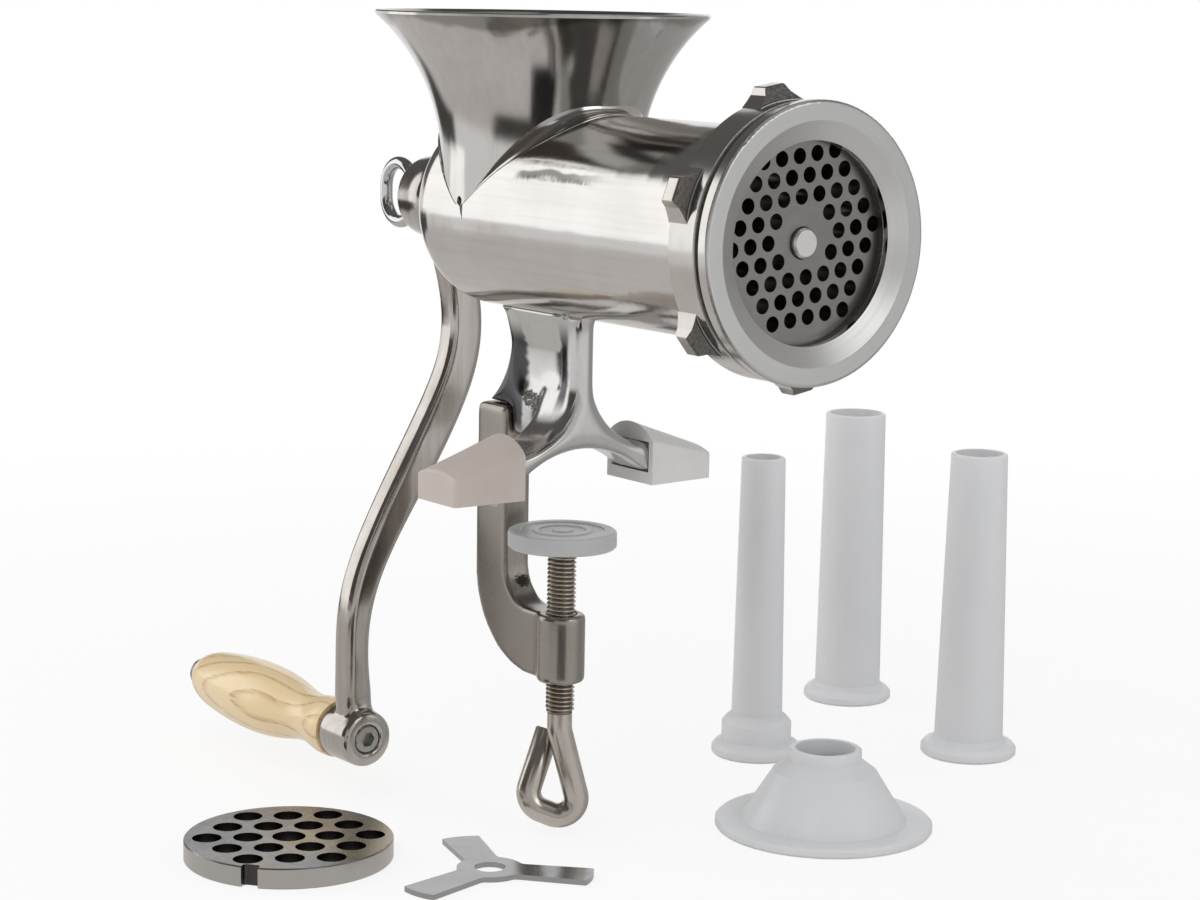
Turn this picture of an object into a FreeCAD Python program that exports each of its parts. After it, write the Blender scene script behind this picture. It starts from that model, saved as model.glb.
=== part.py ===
import FreeCAD, Part
import math
import os

from FreeCAD import Placement, Rotation, Vector

# Manual meat grinder with a table clamp, in millimetres.
# The origin is on the axis of the clamp screw, in the plane of the table top
# (the underside of the rubber boots). +Z is up, the outlet looks along -Y,
# the crank is at +Y.

# Fits
seat_gap = 0.05         # flat faces that meet on different bodies
run_gap = 0.06          # radial play of a shaft in its bore
square_gap = 0.1        # play on each side of a square drive
slide_gap = 0.15        # radial play of the loose plates in their seat
rubber_gap = 0.1        # between the boots and the arms
weld_gap = 0.01         # between welded pieces, which stay separate solids

# Edges
edge = 0.8              # usual chamfer on turned pieces
fine_edge = 0.5
overlap = 1.0           # how far a cutting or joined shape runs past a face

# Head: plates, knife and ring
axis_height = 92.2      # barrel axis above the table top
head_reach = 117.5      # clamp screw to the outer face of the plate
plate_dia = 70.0        # standard plate, from which the head's diameters follow
plate_thick = 7.0
seat_step = 4.8         # shoulder behind the plate
plate_bore = 10.0
coarse_bore = 11.2
plate_edge = 0.4        # chamfer round the plates
fine_hole = 4.9
fine_pitch = 7.03
fine_rows = 5           # holes along one side of the hexagon
fine_free = 1.5         # no hole within this many pitches of the middle
fine_turn = 5.9         # turn of the hole pattern, degrees
fine_shift = (0.4, 1.8)  # the drilled pattern sits off the plate's centre
coarse_hole = 9.9
coarse_pitch = 13.6
coarse_rows = 3
coarse_free = 0.5
notch_width = 5.8
notch_depth = 3.0
notch_round = 1.2
key_width = 5.2
key_depth = 2.4
key_setback = 0.5
knife_thick = 7.5
knife_margin = 0.7      # between the blades' tips and the bore
knife_blades = 4
knife_hub = 22.0
knife_hub_step = 1.0    # the hub stands back from the plate
blade_step = 1.5        # and the blades from the hub's rear
blade_corner = 1.0
blade_root = 15.0
blade_tip = 9.0
blade_land = 0.5        # the flat of a blade beyond its middle
blade_relief = 20.0     # width over which the trailing side would slope through the knife

# Ring nut
collar_wall = 3.85      # from the plate's seat to the outside of the thread
ring_wall = 4.0
ring_length = 19.0
ring_hold = 4.1         # how far the lip reaches over the plate's rim
ring_face = 6.0         # width of the flat front before the bevel
ring_lip = 6.9
ring_land = 4.2         # straight part of the opening, from the plate outward
ring_band_step = 0.4    # the band lies below the front disc
ring_groove_depth = 2.0
ring_disc_thick = 4.4
ring_round = 1.1
ring_disc_edge = 0.4
ring_groove_width = 1.8
lug_count = 6
lug_turn = 39.0
lug_proud = 4.4         # lugs over the front disc
lug_sink = 1.2          # lugs reach into the band
lug_hollow = 2.4        # size of the hollow where a lug's side meets the band
lug_lean = 0.6          # lug's rear face leans forward by this at the tip
lug_root_width = 13.6
lug_tip_width = 7.4
lug_root_length = 8.8
lug_tip_length = 5.2

# Barrel
barrel_wall = 3.45
collar_length = 10.0
collar_setback = 1.0    # plate stands proud of the barrel's front face
seat_extra = 1.0        # play behind the plate
rear_reach = 48.8       # clamp screw to the rear face of the barrel
dome_radius = 15.1
dome_inner = 10.5
rear_wall = 2.9
neck_dia = 31.0
groove_count = 6
groove_width = 4.0
groove_depth = 1.2
groove_length = 70.0

# Hopper
hopper_offset = 15.0    # hopper axis behind the clamp screw
hopper_height = 65.8    # rim above the barrel axis
hopper_rim_dia = 111.6
throat_inset = 0.2      # the hopper's throat is this much narrower than the barrel
throat_ledge = 1.75     # the barrel's hole is this much inside the throat all round
hopper_wall = 3.0
flare_start = 15.8      # where the flare leaves the straight throat
rim_round = 0.8
rim_band = 1.2          # straight band under the rim

# Auger and its bearing
shaft_dia = 19.0
bush_dia = 25.0
bush_flange = 31.0
washer_thick = 1.5
auger_gap = 0.7
auger_core_front = 30.0
auger_core_rear = 22.0
auger_shoulder_dia = 30.0
auger_shoulder_thick = 3.0
auger_cone = 6.0        # length of the cone in front of the shoulder
auger_edge = 1.5
auger_tail_gap = 0.2    # the journal ends this far before the hub
bush_setback = 0.2
flight_pitch = 34.0
flight_root = 6.0
flight_tip = 3.0
flight_margin = 2.0
front_square = 12.0
stud_dia = 9.3
stud_proud = 1.8
stud_edge = 0.6
tail_square = 13.0
tail_corner_dia = 17.68  # over the turned-off corners of the tail
tail_length = 14.0
tail_thread = 8.0
tail_hole_depth = 20.0

# Crank
hub_front_dia = 31.6
hub_rear_dia = 28.0
hub_length = 18.0
hub_gap = 0.4
hub_land = 6.0          # straight part of the hub before its taper
hub_round = 1.2
hub_proud = 0.15        # hub's rear face behind the arm
arm_clear = 1.15        # the arm passes this far behind the hopper's rim
arm_depth = 10.5
arm_width_top = 12.0
arm_width_mid = 14.0
arm_width_low = 10.0
arm_widest = 0.45       # share of the arm's length where it is widest
arm_thinned = 0.8       # share where it has reached its lower width
arm_round = 2.8
arm_bulge_x = 16.3      # upper corner of the arm's centre line
arm_bulge_drop = 51.4
arm_bend_x = -36.4      # lower corner of the arm's centre line
arm_bend_drop = 141.1
arm_top_radius = 58.0
arm_low_radius = 80.0
throw_x = -33.0
throw_drop = 191.3
boss_dia = 20.4
boss_length = 18.0
boss_edge = 1.0
boss_lead = 8.0         # boss's front face ahead of the arm's middle plane

# Grip
spindle_dia = 6.0
spindle_head = 10.0
spindle_head_thick = 4.0
spindle_socket = 5.0
spindle_play = 0.2      # round the head in the boss
spindle_sink = 0.3      # the head lies below the boss's face
grip_length = 98.0
grip_gap = 0.3
grip_collar_dia = 21.0
grip_collar_length = 3.0
grip_collar_swell = 0.3
grip_neck_dia = 18.4
grip_belly_dia = 26.4
grip_tip_dia = 13.4
cap_dia = 11.0
cap_thick = 3.6
cap_skin = 1.2          # metal beyond the end of the spindle

# Thumb screw
thumb_collar_dia = 15.0
thumb_collar_thick = 3.0
thumb_neck_dia = 9.0
thumb_neck = 4.0
thumb_loop_height = 25.6
thumb_loop_depth = 22.6
thumb_wire = 4.6
thumb_sink = 1.6        # the loop runs into the neck by this
thumb_edge = 0.6
thumb_root = 1.0
thumb_taper = 1.2
thumb_shank_length = 14.0
crank_washer_dia = 17.0
crank_washer_thick = 1.0
crank_washer_play = 0.2

# Column and arch
flange_width = 6.2
flange_front = -12.5
column_width = 8.2
column_neck = 27.0      # rear edge of the column at its narrowest
neck_share = 0.5368     # height of the narrowest place between spine and barrel
column_top_rear = 33.5
column_sink = 6.0       # the column runs up this far past the barrel's underside
scoop_depth = 2.1
scoop_front = 9.5
scoop_rear = 5.0
scoop_floor = 4.0       # above the top of the spine
scoop_ceiling = 12.0    # below the top of the column
scoop_round = 8.0
scoop_toe = 2.0
scoop_toe_rise = 1.5
web_corner = 2.5        # the web ends before the spine's rear face
web_swell_low = 4.5     # how far the rear edge bows back below its narrowest place
web_swell_high = 3.0
saddle_width = 18.0
saddle_drop = 9.0
saddle_nose = 12.0      # length of the saddle's tapered front
saddle_tail = 9.0
saddle_over = 1.5       # the saddle stands out past the column at both ends
arm_span = 96.0         # over the tips of the two feet arms
arm_y_depth = 20.4
arch_apex = 14.0
arch_clear = 0.6        # the arch's feet end this far inside the boots' mouths
arch_foot = 4.2
tip_low = 2.2
tip_high = 7.8
shoulder_height = 14.4
fillet_rise = 33.0
arch_swell = 1.2        # hollow between column and shoulder
arch_swell_at = 6.0

# C-frame
spine_back = 43.5
spine_depth = 17.5
frame_width = 10.8
spine_top = 24.5
frame_bottom = -67.0
frame_low_top = -44.0
frame_inner_radius = 13.0
frame_outer_radius = 33.0
frame_corner = 3.0
boss_chamfer = 0.7
boss_over = 0.5         # the screw's boss stands out under the bar
boss_screw_dia = 16.6

# Boots
boot_grip = 21.4        # how far an arm reaches into its boot
boot_end = 5.6          # rubber beyond the arm's tip
boot_depth = 25.0       # at the open end
boot_depth_out = 22.0
boot_side_in = 15.0
boot_crown_in = 20.5
boot_side_out = 8.6
boot_crown_out = 10.8
boot_round = 1.4

# Clamp screw and pad
screw_dia = 9.9
eye_rod_dia = 8.6
screw_thread_low = -78.5
eye_lead = 6.0          # straight rod between the thread and the first bend
eye_low = (9.4, -41.5)  # corners of the eye's centre line below the thread
eye_far = (-10.8, -33.0)
eye_end = (-1.4, -8.8)
eye_bends = (12.0, 6.2, 6.6)
eye_turn = -20.0        # the eye's plane, degrees about the screw
eye_offset = 9.2        # how far the bent end lies behind the shank
pad_top = -14.8
pad_dia = 37.0
pad_height = 6.0
pad_wall = 2.0
pad_disc_gap = 0.05
pad_neck_dia = 6.4
rivet_dia = 11.0
rivet_thick = 1.3
rivet_gap = 0.2         # round the screw's rivet head in the disc
rivet_edge = 0.5
rivet_play = 0.3
screw_head_gap = 0.15
disc_low_gap = 0.3      # round the swivel disc inside the cap
disc_side_gap = 0.1
pad_edge = 0.7
pad_round = 1.2
pad_ring_rise = 0.4     # height of the rings on top

# Loose pieces on the floor
floor_z = -122.5
coarse_at = (-88.0, 32.6)
coarse_turn = -30.5
coarse_notch = -142.7
star_at = (-42.2, -19.1)
star_turn = 72.0
star_radius = 34.6
star_arm_root = 10.5
star_arm_tip = 13.0
star_hub = 22.0
star_bore = 10.3
star_thick = 1.8
star_round = 2.5
flange_at = (83.5, -43.6)
flange_dia = 76.0
flange_thick = 3.2
flange_cone_dia = 58.0
flange_height = 28.5
flange_collar_dia = 25.4
flange_collar_height = 5.0
flange_wall = 2.2
flange_ribs = 12
flange_cone_rise = 3.0  # from the cone's shoulder to the collar
flange_cone_step = 5.5  # the shoulder stands out from the collar
flange_inner_step = 3.4  # the same inside
flange_edge = 0.6
rib_thick = 1.2
rib_gap = 1.0           # the ribs stay this far above the floor and inside the cone
rib_foot = 4.0
rib_top = 2.6           # ribs' upper ends from the collar
tube_wall = 1.6
tube_flange_thick = 4.6
tube_step_dia = 26.6    # thicker root of the narrow tube
tube_step_low = 1.4
tube_step_high = 8.0
tube_step_shoulder = 10.0
tube_step_round = 1.6
tube_step_end = 11.5
tube_root_flare = 1.2
small_tube_at = (126.2, 42.4)
small_tube_height = 115.0
small_tube_tip = 16.6
small_tube_root = 19.4
small_tube_flange = 34.0
medium_tube_at = (213.5, 86.2)
medium_tube_height = 119.0
medium_tube_tip = 24.2
medium_tube_root = 26.7
medium_tube_flange = 35.6
large_tube_at = (194.3, -3.6)
large_tube_height = 117.0
large_tube_tip = 21.4
large_tube_root = 26.2
large_tube_flange = 36.4

# Diameters of the head that follow from the plate
seat_dia = plate_dia + 2 * slide_gap
barrel_bore = plate_dia - 2 * seat_step
barrel_dia = barrel_bore + 2 * barrel_wall
knife_span = barrel_bore - 2 * knife_margin
thread_dia = seat_dia + 2 * collar_wall
ring_dia = thread_dia + 2 * ring_wall
ring_band_dia = ring_dia - 2 * ring_band_step
ring_groove_dia = ring_dia - 2 * ring_groove_depth
ring_bevel_dia = ring_dia - 2 * ring_face
ring_opening = plate_dia - 2 * ring_hold
lug_reach = ring_dia / 2 + lug_proud
throat_dia = barrel_dia - throat_inset
throat_hole = throat_dia - 2 * hopper_wall - 2 * throat_ledge

# Distances of the boots' ends and the arch's feet from the middle plane
boot_inner = arm_span / 2 - boot_grip
boot_outer = arm_span / 2 + boot_end
arch_half = boot_inner - arch_clear


# Helpers

def place(angle, axis, base=(0, 0, 0)):
    """A placement that turns about an axis through the origin and then moves."""
    return Placement(Vector(*base), Rotation(Vector(*axis), angle))


def wire_of(items, to_space):
    """A closed wire: items are (a, b) for a line, (am, bm, a, b) for an arc through (am, bm)."""
    edges = []
    last = to_space(*items[0])
    for item in list(items[1:]) + [items[0]]:
        end = to_space(*item[-2:])
        if last.distanceToPoint(end) < 1e-6:
            continue
        if len(item) == 4:
            edges.append(Part.Arc(last, to_space(*item[:2]), end).toShape())
        else:
            edges.append(Part.LineSegment(last, end).toShape())
        last = end
    return Part.Wire(edges)


def turned(items, axis_x=0.0, axis_z=axis_height):
    """A solid of revolution about a line along Y; items hold (y, radius)."""
    wire = wire_of(items, lambda y, r: Vector(axis_x, y, axis_z + r))
    return Part.Face(wire).revolve(Vector(axis_x, 0, axis_z), Vector(0, 1, 0), 360)


def spun(items, at=(0.0, 0.0)):
    """A solid of revolution about a vertical line; items hold (radius, z)."""
    wire = wire_of(items, lambda r, z: Vector(at[0] + r, at[1], z))
    return Part.Face(wire).revolve(Vector(at[0], at[1], 0), Vector(0, 0, 1), 360)


def rod_y(dia, y0, y1, x=0.0, z=axis_height):
    """A cylinder along Y between two places."""
    return Part.makeCylinder(dia / 2, y1 - y0, Vector(x, y0, z), Vector(0, 1, 0))


def rod_z(dia, z0, z1, at=(0.0, 0.0)):
    """A vertical cylinder between two heights."""
    return Part.makeCylinder(dia / 2, z1 - z0, Vector(at[0], at[1], z0))


def square_y(side, y0, y1):
    """A square bar along Y, centred on the barrel axis."""
    corner = Vector(-side / 2, y0, axis_height - side / 2)
    return Part.makeBox(side, y1 - y0, side, corner)


def plate_yz(items, width):
    """A plate of even width across X with its outline in the YZ plane."""
    wire = wire_of(items, lambda y, z: Vector(-width / 2, y, z))
    return Part.Face(wire).extrude(Vector(width, 0, 0))


def save(name, shape):
    """Write one node, checked to be closed solids."""
    shape = shape.removeSplitter() if len(shape.Solids) == 1 else shape
    solids = shape.Solids
    if not shape.isValid() or not solids:
        print("INVALID", name)
    print(name, len(solids), "volume", round(shape.Volume))
    out = solids[0] if len(solids) == 1 else Part.makeCompound(solids)
    out.exportStep("parts/" + name + ".step")


# Places along the barrel axis
plate_front = -head_reach
plate_back = plate_front + plate_thick
knife_front = plate_back + seat_gap
knife_back = knife_front + knife_thick
barrel_front = plate_front + collar_setback
collar_end = barrel_front + collar_length
seat_end = plate_back + seat_extra
ring_front = plate_front - ring_lip
ring_rear = ring_front + ring_length
bore_end = rear_reach - rear_wall
arm_y = hopper_offset + hopper_rim_dia / 2 + arm_clear + arm_depth / 2
hub_back = arm_y + arm_depth / 2 + hub_proud
hub_front = hub_back - hub_length
neck_end = hub_front - hub_gap
washer_front = bore_end - washer_thick
shoulder_back = washer_front - seat_gap
boss_front = arm_y - boss_lead
boss_back = boss_front + boss_length
rim_z = axis_height + hopper_height


def hole_rows(rows):
    """Places of a hexagonal pattern with the given holes along a side, in pitches."""
    spots = []
    for j in range(1 - rows, rows):
        for i in range(1 - rows, rows):
            if abs(i + j) < rows:
                spots.append((i + j / 2, j * math.sqrt(3) / 2))
    return spots


def plate_blank(dia, thick, bore):
    """A plain plate lying on z = 0 with its centre hole."""
    blank = Part.makeCylinder(dia / 2, thick)
    blank = blank.makeChamfer(plate_edge, blank.Edges[:1] + blank.Edges[2:])
    return blank.cut(Part.makeCylinder(bore / 2, 3 * thick, Vector(0, 0, -thick)))


def notch_cut(angle):
    """The key's notch in the rim of a plate, at an angle about the plate's axis."""
    depth = plate_thick * 3
    corner = Vector(plate_dia / 2 - notch_depth, -notch_width / 2, -plate_thick)
    box = Part.makeBox(notch_depth * 2, notch_width, depth, corner)
    inner = [e for e in box.Edges if abs(e.BoundBox.XMin - corner.x) < 1e-6
             and e.BoundBox.ZLength > 1 and e.BoundBox.XLength < 1e-6]
    box = box.makeFillet(notch_round, inner)
    box.Placement = place(angle, (0, 0, 1)).multiply(box.Placement)
    return box


def holes(spots, dia, pitch, turn):
    """Drills for a plate's hole pattern."""
    drills = []
    for a, b in spots:
        drills.append(Part.makeCylinder(dia / 2, 3 * plate_thick,
                                        Vector(a * pitch, b * pitch, -plate_thick)))
    drills = Part.makeCompound(drills)
    drills.Placement = place(turn, (0, 0, 1))
    return drills


def to_head(shape):
    """Stand a plate made on z = 0 into the head: its top looks out along -Y."""
    turn = Rotation(Vector(1, 0, 0), 90)
    shape.Placement = Placement(Vector(0, plate_back, axis_height), turn).multiply(shape.Placement)
    return shape


def make_fine_plate():
    """The 54-hole plate in the head, notch at the bottom."""
    plate = plate_blank(plate_dia, plate_thick, plate_bore)
    spots = [s for s in hole_rows(fine_rows) if math.hypot(*s) > fine_free]
    drills = holes(spots, fine_hole, fine_pitch, fine_turn)
    drills.translate(Vector(fine_shift[0], fine_shift[1], 0))
    plate = plate.cut(drills)
    plate = plate.cut(notch_cut(-90))
    return to_head(plate)


def make_coarse_plate():
    """The spare 19-hole plate, lying on the floor."""
    plate = plate_blank(plate_dia, plate_thick, coarse_bore)
    spots = [s for s in hole_rows(coarse_rows) if math.hypot(*s) > coarse_free]
    plate = plate.cut(holes(spots, coarse_hole, coarse_pitch, coarse_turn))
    plate = plate.cut(notch_cut(coarse_notch))
    plate.translate(Vector(coarse_at[0], coarse_at[1], floor_z))
    return plate


def make_plate_key():
    """The key in the bottom of the barrel's seat."""
    inner = seat_dia / 2 - key_depth
    front = barrel_front + key_setback
    corner = Vector(-key_width / 2, front, axis_height - seat_dia / 2 - key_depth / 2)
    key = Part.makeBox(key_width, seat_end - front, seat_dia / 2 + key_depth / 2 - inner, corner)
    top = [e for e in key.Edges if e.BoundBox.YLength > 1 and e.BoundBox.ZMin > corner.z + 0.1]
    return key.makeFillet(edge, top)


def make_knife():
    """The cross knife: blades ground on the face that meets the plate."""
    knife = rod_y(knife_hub, knife_front + knife_hub_step, knife_back)
    tip = knife_span / 2
    for k in range(knife_blades):
        lead = [(-blade_root * 0.35, 0), (blade_root * 0.65, 0),
                (blade_tip * 0.62, tip - blade_corner),
                (blade_tip * 0.3, tip, -blade_tip * 0.38, tip - blade_corner * 0.6)]
        wire = wire_of(lead, lambda a, b: Vector(a, knife_front, b))
        blade = Part.Face(wire).extrude(Vector(0, knife_thick - blade_step, 0))
        # the trailing half of each blade slopes away from the plate
        slope = [(blade_land, -overlap), (blade_relief, -overlap), (blade_relief, knife_thick)]
        relief = Part.Face(wire_of(slope, lambda a, b: Vector(a, knife_front + b, -overlap)))
        blade = blade.cut(relief.extrude(Vector(0, 0, tip + 2 * overlap)))
        blade.Placement = Placement(Vector(0, 0, axis_height),
                                    Rotation(Vector(0, 1, 0), 45 + k * 360 / knife_blades))
        knife = knife.fuse(blade)
    knife = knife.common(rod_y(knife_span, knife_front, knife_back))
    return knife.cut(square_y(front_square + 2 * square_gap, knife_front - overlap, knife_back + overlap))


def make_lug():
    """One lug standing out along +X: tapered block whose sides run into the band in a hollow."""
    band = ring_band_dia / 2
    root = lug_root_width / 2
    tip = lug_tip_width / 2
    sunk = band - lug_sink

    def side_at(radius):
        return root + (tip - root) * (radius - sunk) / (lug_reach - sunk)

    foot_side = side_at(band) + lug_hollow
    foot = math.sqrt(band ** 2 - foot_side ** 2) - weld_gap
    top = band + lug_hollow
    middle = (band + 0.27 * lug_hollow, side_at(band) + 0.24 * lug_hollow)
    low = foot - lug_sink
    front_view = wire_of([
        (low, -foot_side), (foot, -foot_side), (middle[0], -middle[1], top, -side_at(top)),
        (lug_reach, -tip), (lug_reach, tip), (top, side_at(top)),
        (middle[0], middle[1], foot, foot_side), (low, foot_side)],
        lambda x, z: Vector(x, ring_rear, z))
    side_view = wire_of([
        (low, ring_rear), (lug_reach, ring_rear - lug_lean),
        (lug_reach, ring_rear - lug_lean - lug_tip_length), (sunk, ring_rear - lug_root_length),
        (low, ring_rear - lug_root_length)], lambda x, y: Vector(x, y, -foot_side))
    lug = Part.Face(front_view).extrude(Vector(0, -lug_root_length, 0))
    lug = lug.common(Part.Face(side_view).extrude(Vector(0, 0, 2 * foot_side)))
    return lug.makeFillet(edge, [e for e in lug.Edges if e.BoundBox.XMin > lug_reach - weld_gap])


def make_ring_nut():
    """The retaining ring: lip, bevel, disc, groove, band and six lugs."""
    lip_back = plate_front - seat_gap
    thread = thread_dia / 2 + run_gap
    disc_back = ring_front + ring_disc_thick
    band = ring_band_dia / 2
    disc = ring_dia / 2
    q = ring_round * (1 - math.sqrt(0.5))
    ring = turned([
        (lip_back, thread), (ring_rear, thread), (ring_rear, band - edge),
        (ring_rear - edge, band), (disc_back + ring_groove_width + edge, band),
        (disc_back + ring_groove_width, ring_groove_dia / 2),
        (disc_back, ring_groove_dia / 2), (disc_back, disc - ring_disc_edge),
        (disc_back - ring_disc_edge, disc), (ring_front + ring_round, disc),
        (ring_front + q, disc - q, ring_front, disc - ring_round),
        (ring_front, ring_bevel_dia / 2),
        (plate_front - ring_land, ring_opening / 2),
        (lip_back, ring_opening / 2)])
    for k in range(lug_count):
        lug = make_lug()
        lug.Placement = Placement(Vector(0, 0, axis_height),
                                  Rotation(Vector(0, 1, 0), -(lug_turn + k * 360 / lug_count)))
        ring = ring.fuse(lug)
    return ring


def barrel_skin(grow=0.0):
    """The barrel's outside without its collar: tube, domed rear end and bearing neck."""
    outer_r = barrel_dia / 2 + grow
    dome = dome_radius + grow
    arc = dome * math.sqrt(0.5)
    face_r = barrel_dia / 2 - dome_radius
    dome_y = rear_reach - dome_radius
    neck_r = neck_dia / 2
    root = face_r - neck_r
    return turned([
        (barrel_front + overlap, 0), (barrel_front + overlap, outer_r), (dome_y, outer_r),
        (dome_y + arc, face_r + arc, rear_reach + grow, face_r),
        (rear_reach + grow + root * (1 - math.sqrt(0.5)), neck_r + root * (1 - math.sqrt(0.5)),
         rear_reach + grow + root, neck_r), (neck_end - edge, neck_r), (neck_end, neck_r - edge),
        (neck_end, 0)])


def make_barrel():
    """The barrel: dome and neck at the rear, threaded collar and seat in front, throat on top."""
    bore_r = barrel_bore / 2
    seat_r = seat_dia / 2
    inner = dome_inner * (1 - math.sqrt(0.5))
    collar = turned([
        (barrel_front, 0), (barrel_front, thread_dia / 2 - edge),
        (barrel_front + edge, thread_dia / 2), (collar_end - edge, thread_dia / 2),
        (collar_end, barrel_dia / 2), (collar_end + overlap, barrel_dia / 2 - overlap),
        (collar_end + overlap, 0)])
    hollow = turned([
        (barrel_front - overlap, 0), (barrel_front - overlap, seat_r), (seat_end, seat_r),
        (seat_end, bore_r), (bore_end - dome_inner, bore_r),
        (bore_end - inner, bore_r - inner, bore_end, bore_r - dome_inner), (bore_end, bush_dia / 2),
        (neck_end + overlap, bush_dia / 2), (neck_end + overlap, 0)])
    barrel = barrel_skin().fuse(collar).cut(hollow)
    throat = rod_z(throat_hole, axis_height, axis_height + barrel_dia, (0, hopper_offset))
    barrel = barrel.cut(throat)
    for k in range(groove_count):
        angle = (k + 0.5) * 360 / groove_count
        corner = Vector(-groove_width / 2, seat_end - overlap, bore_r - groove_width / 2)
        groove = Part.makeBox(groove_width, groove_length + overlap,
                              groove_width / 2 + groove_depth, corner)
        groove.Placement = Placement(Vector(0, 0, axis_height), Rotation(Vector(0, 1, 0), angle))
        barrel = barrel.cut(groove)
    return barrel.cut(make_plate_key())


def make_hopper():
    """The trumpet: straight throat, flare with one radius, flat ground rim."""
    throat = throat_dia / 2
    rim = hopper_rim_dia / 2
    rise = hopper_height - flare_start - rim_band
    out = rim - throat
    radius = (out * out + rise * rise) / (2 * out)
    centre_r = throat + radius
    z0 = axis_height + flare_start
    inner = radius + hopper_wall
    rise_top = rise + rim_band

    def on_arc(arc_radius, height):
        return centre_r - math.sqrt(arc_radius ** 2 - height ** 2)

    half = rise / 2
    low = axis_height - overlap
    hopper = spun([
        (throat, low), (throat, z0),
        (on_arc(radius, half), z0 + half, rim, rim_z - rim_band),
        (rim, rim_z - rim_round * 0.5), (rim - rim_round * 0.5, rim_z),
        (on_arc(inner, rise_top) + rim_round, rim_z),
        (on_arc(inner, rise_top - rim_round), rim_z - rim_round),
        (on_arc(inner, half), z0 + half, throat - hopper_wall, z0),
        (throat - hopper_wall, low)], (0, hopper_offset))
    hopper = hopper.cut(barrel_skin(weld_gap))
    return max(hopper.Solids, key=lambda solid: solid.BoundBox.ZMax)


def make_rear_bush():
    """The sleeve in the barrel's rear wall."""
    inner = shaft_dia / 2 + run_gap
    first, last = bore_end + bush_setback, neck_end - bush_setback
    return turned([(first, inner), (first, bush_dia / 2), (last, bush_dia / 2), (last, inner)])


def make_thrust_washer():
    """The ring that takes the auger's push."""
    bore = shaft_dia / 2 + 2 * run_gap
    return turned([(washer_front, bore), (washer_front, bush_flange / 2),
                   (bore_end, bush_flange / 2), (bore_end, bore)])


def make_auger():
    """The auger: tapered core, left-hand flight, square drives and stud."""
    front = knife_back
    square_front = plate_back + seat_gap
    journal_end = hub_front - auger_tail_gap
    core = turned([
        (front, 0), (front, auger_core_front / 2 - auger_edge),
        (front + auger_edge, auger_core_front / 2),
        (shoulder_back - auger_shoulder_thick - auger_cone, auger_core_rear / 2),
        (shoulder_back - auger_shoulder_thick, auger_shoulder_dia / 2),
        (shoulder_back, auger_shoulder_dia / 2), (shoulder_back, shaft_dia / 2),
        (journal_end, shaft_dia / 2), (journal_end, 0)])
    tail = square_y(tail_square, journal_end - overlap, hub_front + tail_length)
    tail = tail.common(rod_y(tail_corner_dia, journal_end - overlap, hub_front + tail_length))
    nose = square_y(front_square, square_front, front + overlap)
    stud_end = plate_front - stud_proud
    stud = turned([(stud_end, 0), (stud_end, stud_dia / 2 - stud_edge),
                   (stud_end + stud_edge, stud_dia / 2),
                   (square_front + overlap, stud_dia / 2), (square_front + overlap, 0)])
    flight_r = barrel_bore / 2 - auger_gap
    start = front + flight_margin + flight_root / 2
    end = bore_end - dome_inner - flight_root / 2
    inner = auger_core_rear / 2 - 2 * overlap
    helix = Part.makeLongHelix(flight_pitch, end - start, inner, 0, True)
    profile = Part.makePolygon([
        Vector(inner, 0, -flight_root / 2), Vector(flight_r, 0, -flight_tip / 2),
        Vector(flight_r, 0, flight_tip / 2), Vector(inner, 0, flight_root / 2),
        Vector(inner, 0, -flight_root / 2)])
    flight = helix.makePipeShell([profile], True, True)
    turn = Rotation(Vector(1, 0, 0), -90)
    flight.Placement = Placement(Vector(0, start, axis_height), turn)
    auger = core.fuse([tail, nose, stud, flight])
    hole_front = hub_front + tail_length - tail_hole_depth
    return auger.cut(rod_y(tail_thread + 2 * run_gap, hole_front, hub_front + tail_length + overlap))


def arm_line():
    """The crank arm's centre line in the XZ plane: straight, arc, straight, arc, straight."""
    points = [Vector(0, arm_y, axis_height),
              Vector(arm_bulge_x, arm_y, axis_height - arm_bulge_drop),
              Vector(arm_bend_x, arm_y, axis_height - arm_bend_drop),
              Vector(throw_x, arm_y, axis_height - throw_drop)]
    edges = []
    last = points[0]
    for corner, after, radius in ((points[1], points[2], arm_top_radius),
                                  (points[2], points[3], arm_low_radius)):
        back = (last - corner).normalize()
        ahead = (after - corner).normalize()
        half = back.getAngle(ahead) / 2
        run = radius / math.tan(half)
        into = corner + back * run
        out = corner + ahead * run
        middle = (back + ahead).normalize()
        middle = corner + middle * (radius / math.sin(half) - radius)
        edges.append(Part.LineSegment(last, into).toShape())
        edges.append(Part.Arc(into, middle, out).toShape())
        last = out
    edges.append(Part.LineSegment(last, points[3]).toShape())
    return Part.Wire(edges)


def arm_section(at, along, width):
    """A rounded rectangle across the arm."""
    side = Vector(0, 1, 0).cross(along).normalize()
    back = Vector(0, 1, 0)
    a = width / 2
    b = arm_depth / 2
    r = min(arm_round, a * 0.75)
    q = r * (1 - math.sqrt(0.5))
    items = [(-a + r, -b), (a - r, -b), (a - q, -b + q, a, -b + r), (a, b - r),
             (a - q, b - q, a - r, b), (-a + r, b), (-a + q, b - q, -a, b - r),
             (-a, -b + r), (-a + q, -b + q, -a + r, -b)]
    return wire_of(items, lambda u, v: at + side * u + back * v)


def arm_width_at(share):
    """Width of the arm at a share of its length: widest in the middle."""
    if share < arm_widest:
        return arm_width_top + (arm_width_mid - arm_width_top) * share / arm_widest
    past = min(1, (share - arm_widest) / (arm_thinned - arm_widest))
    return arm_width_mid + (arm_width_low - arm_width_mid) * past


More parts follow.
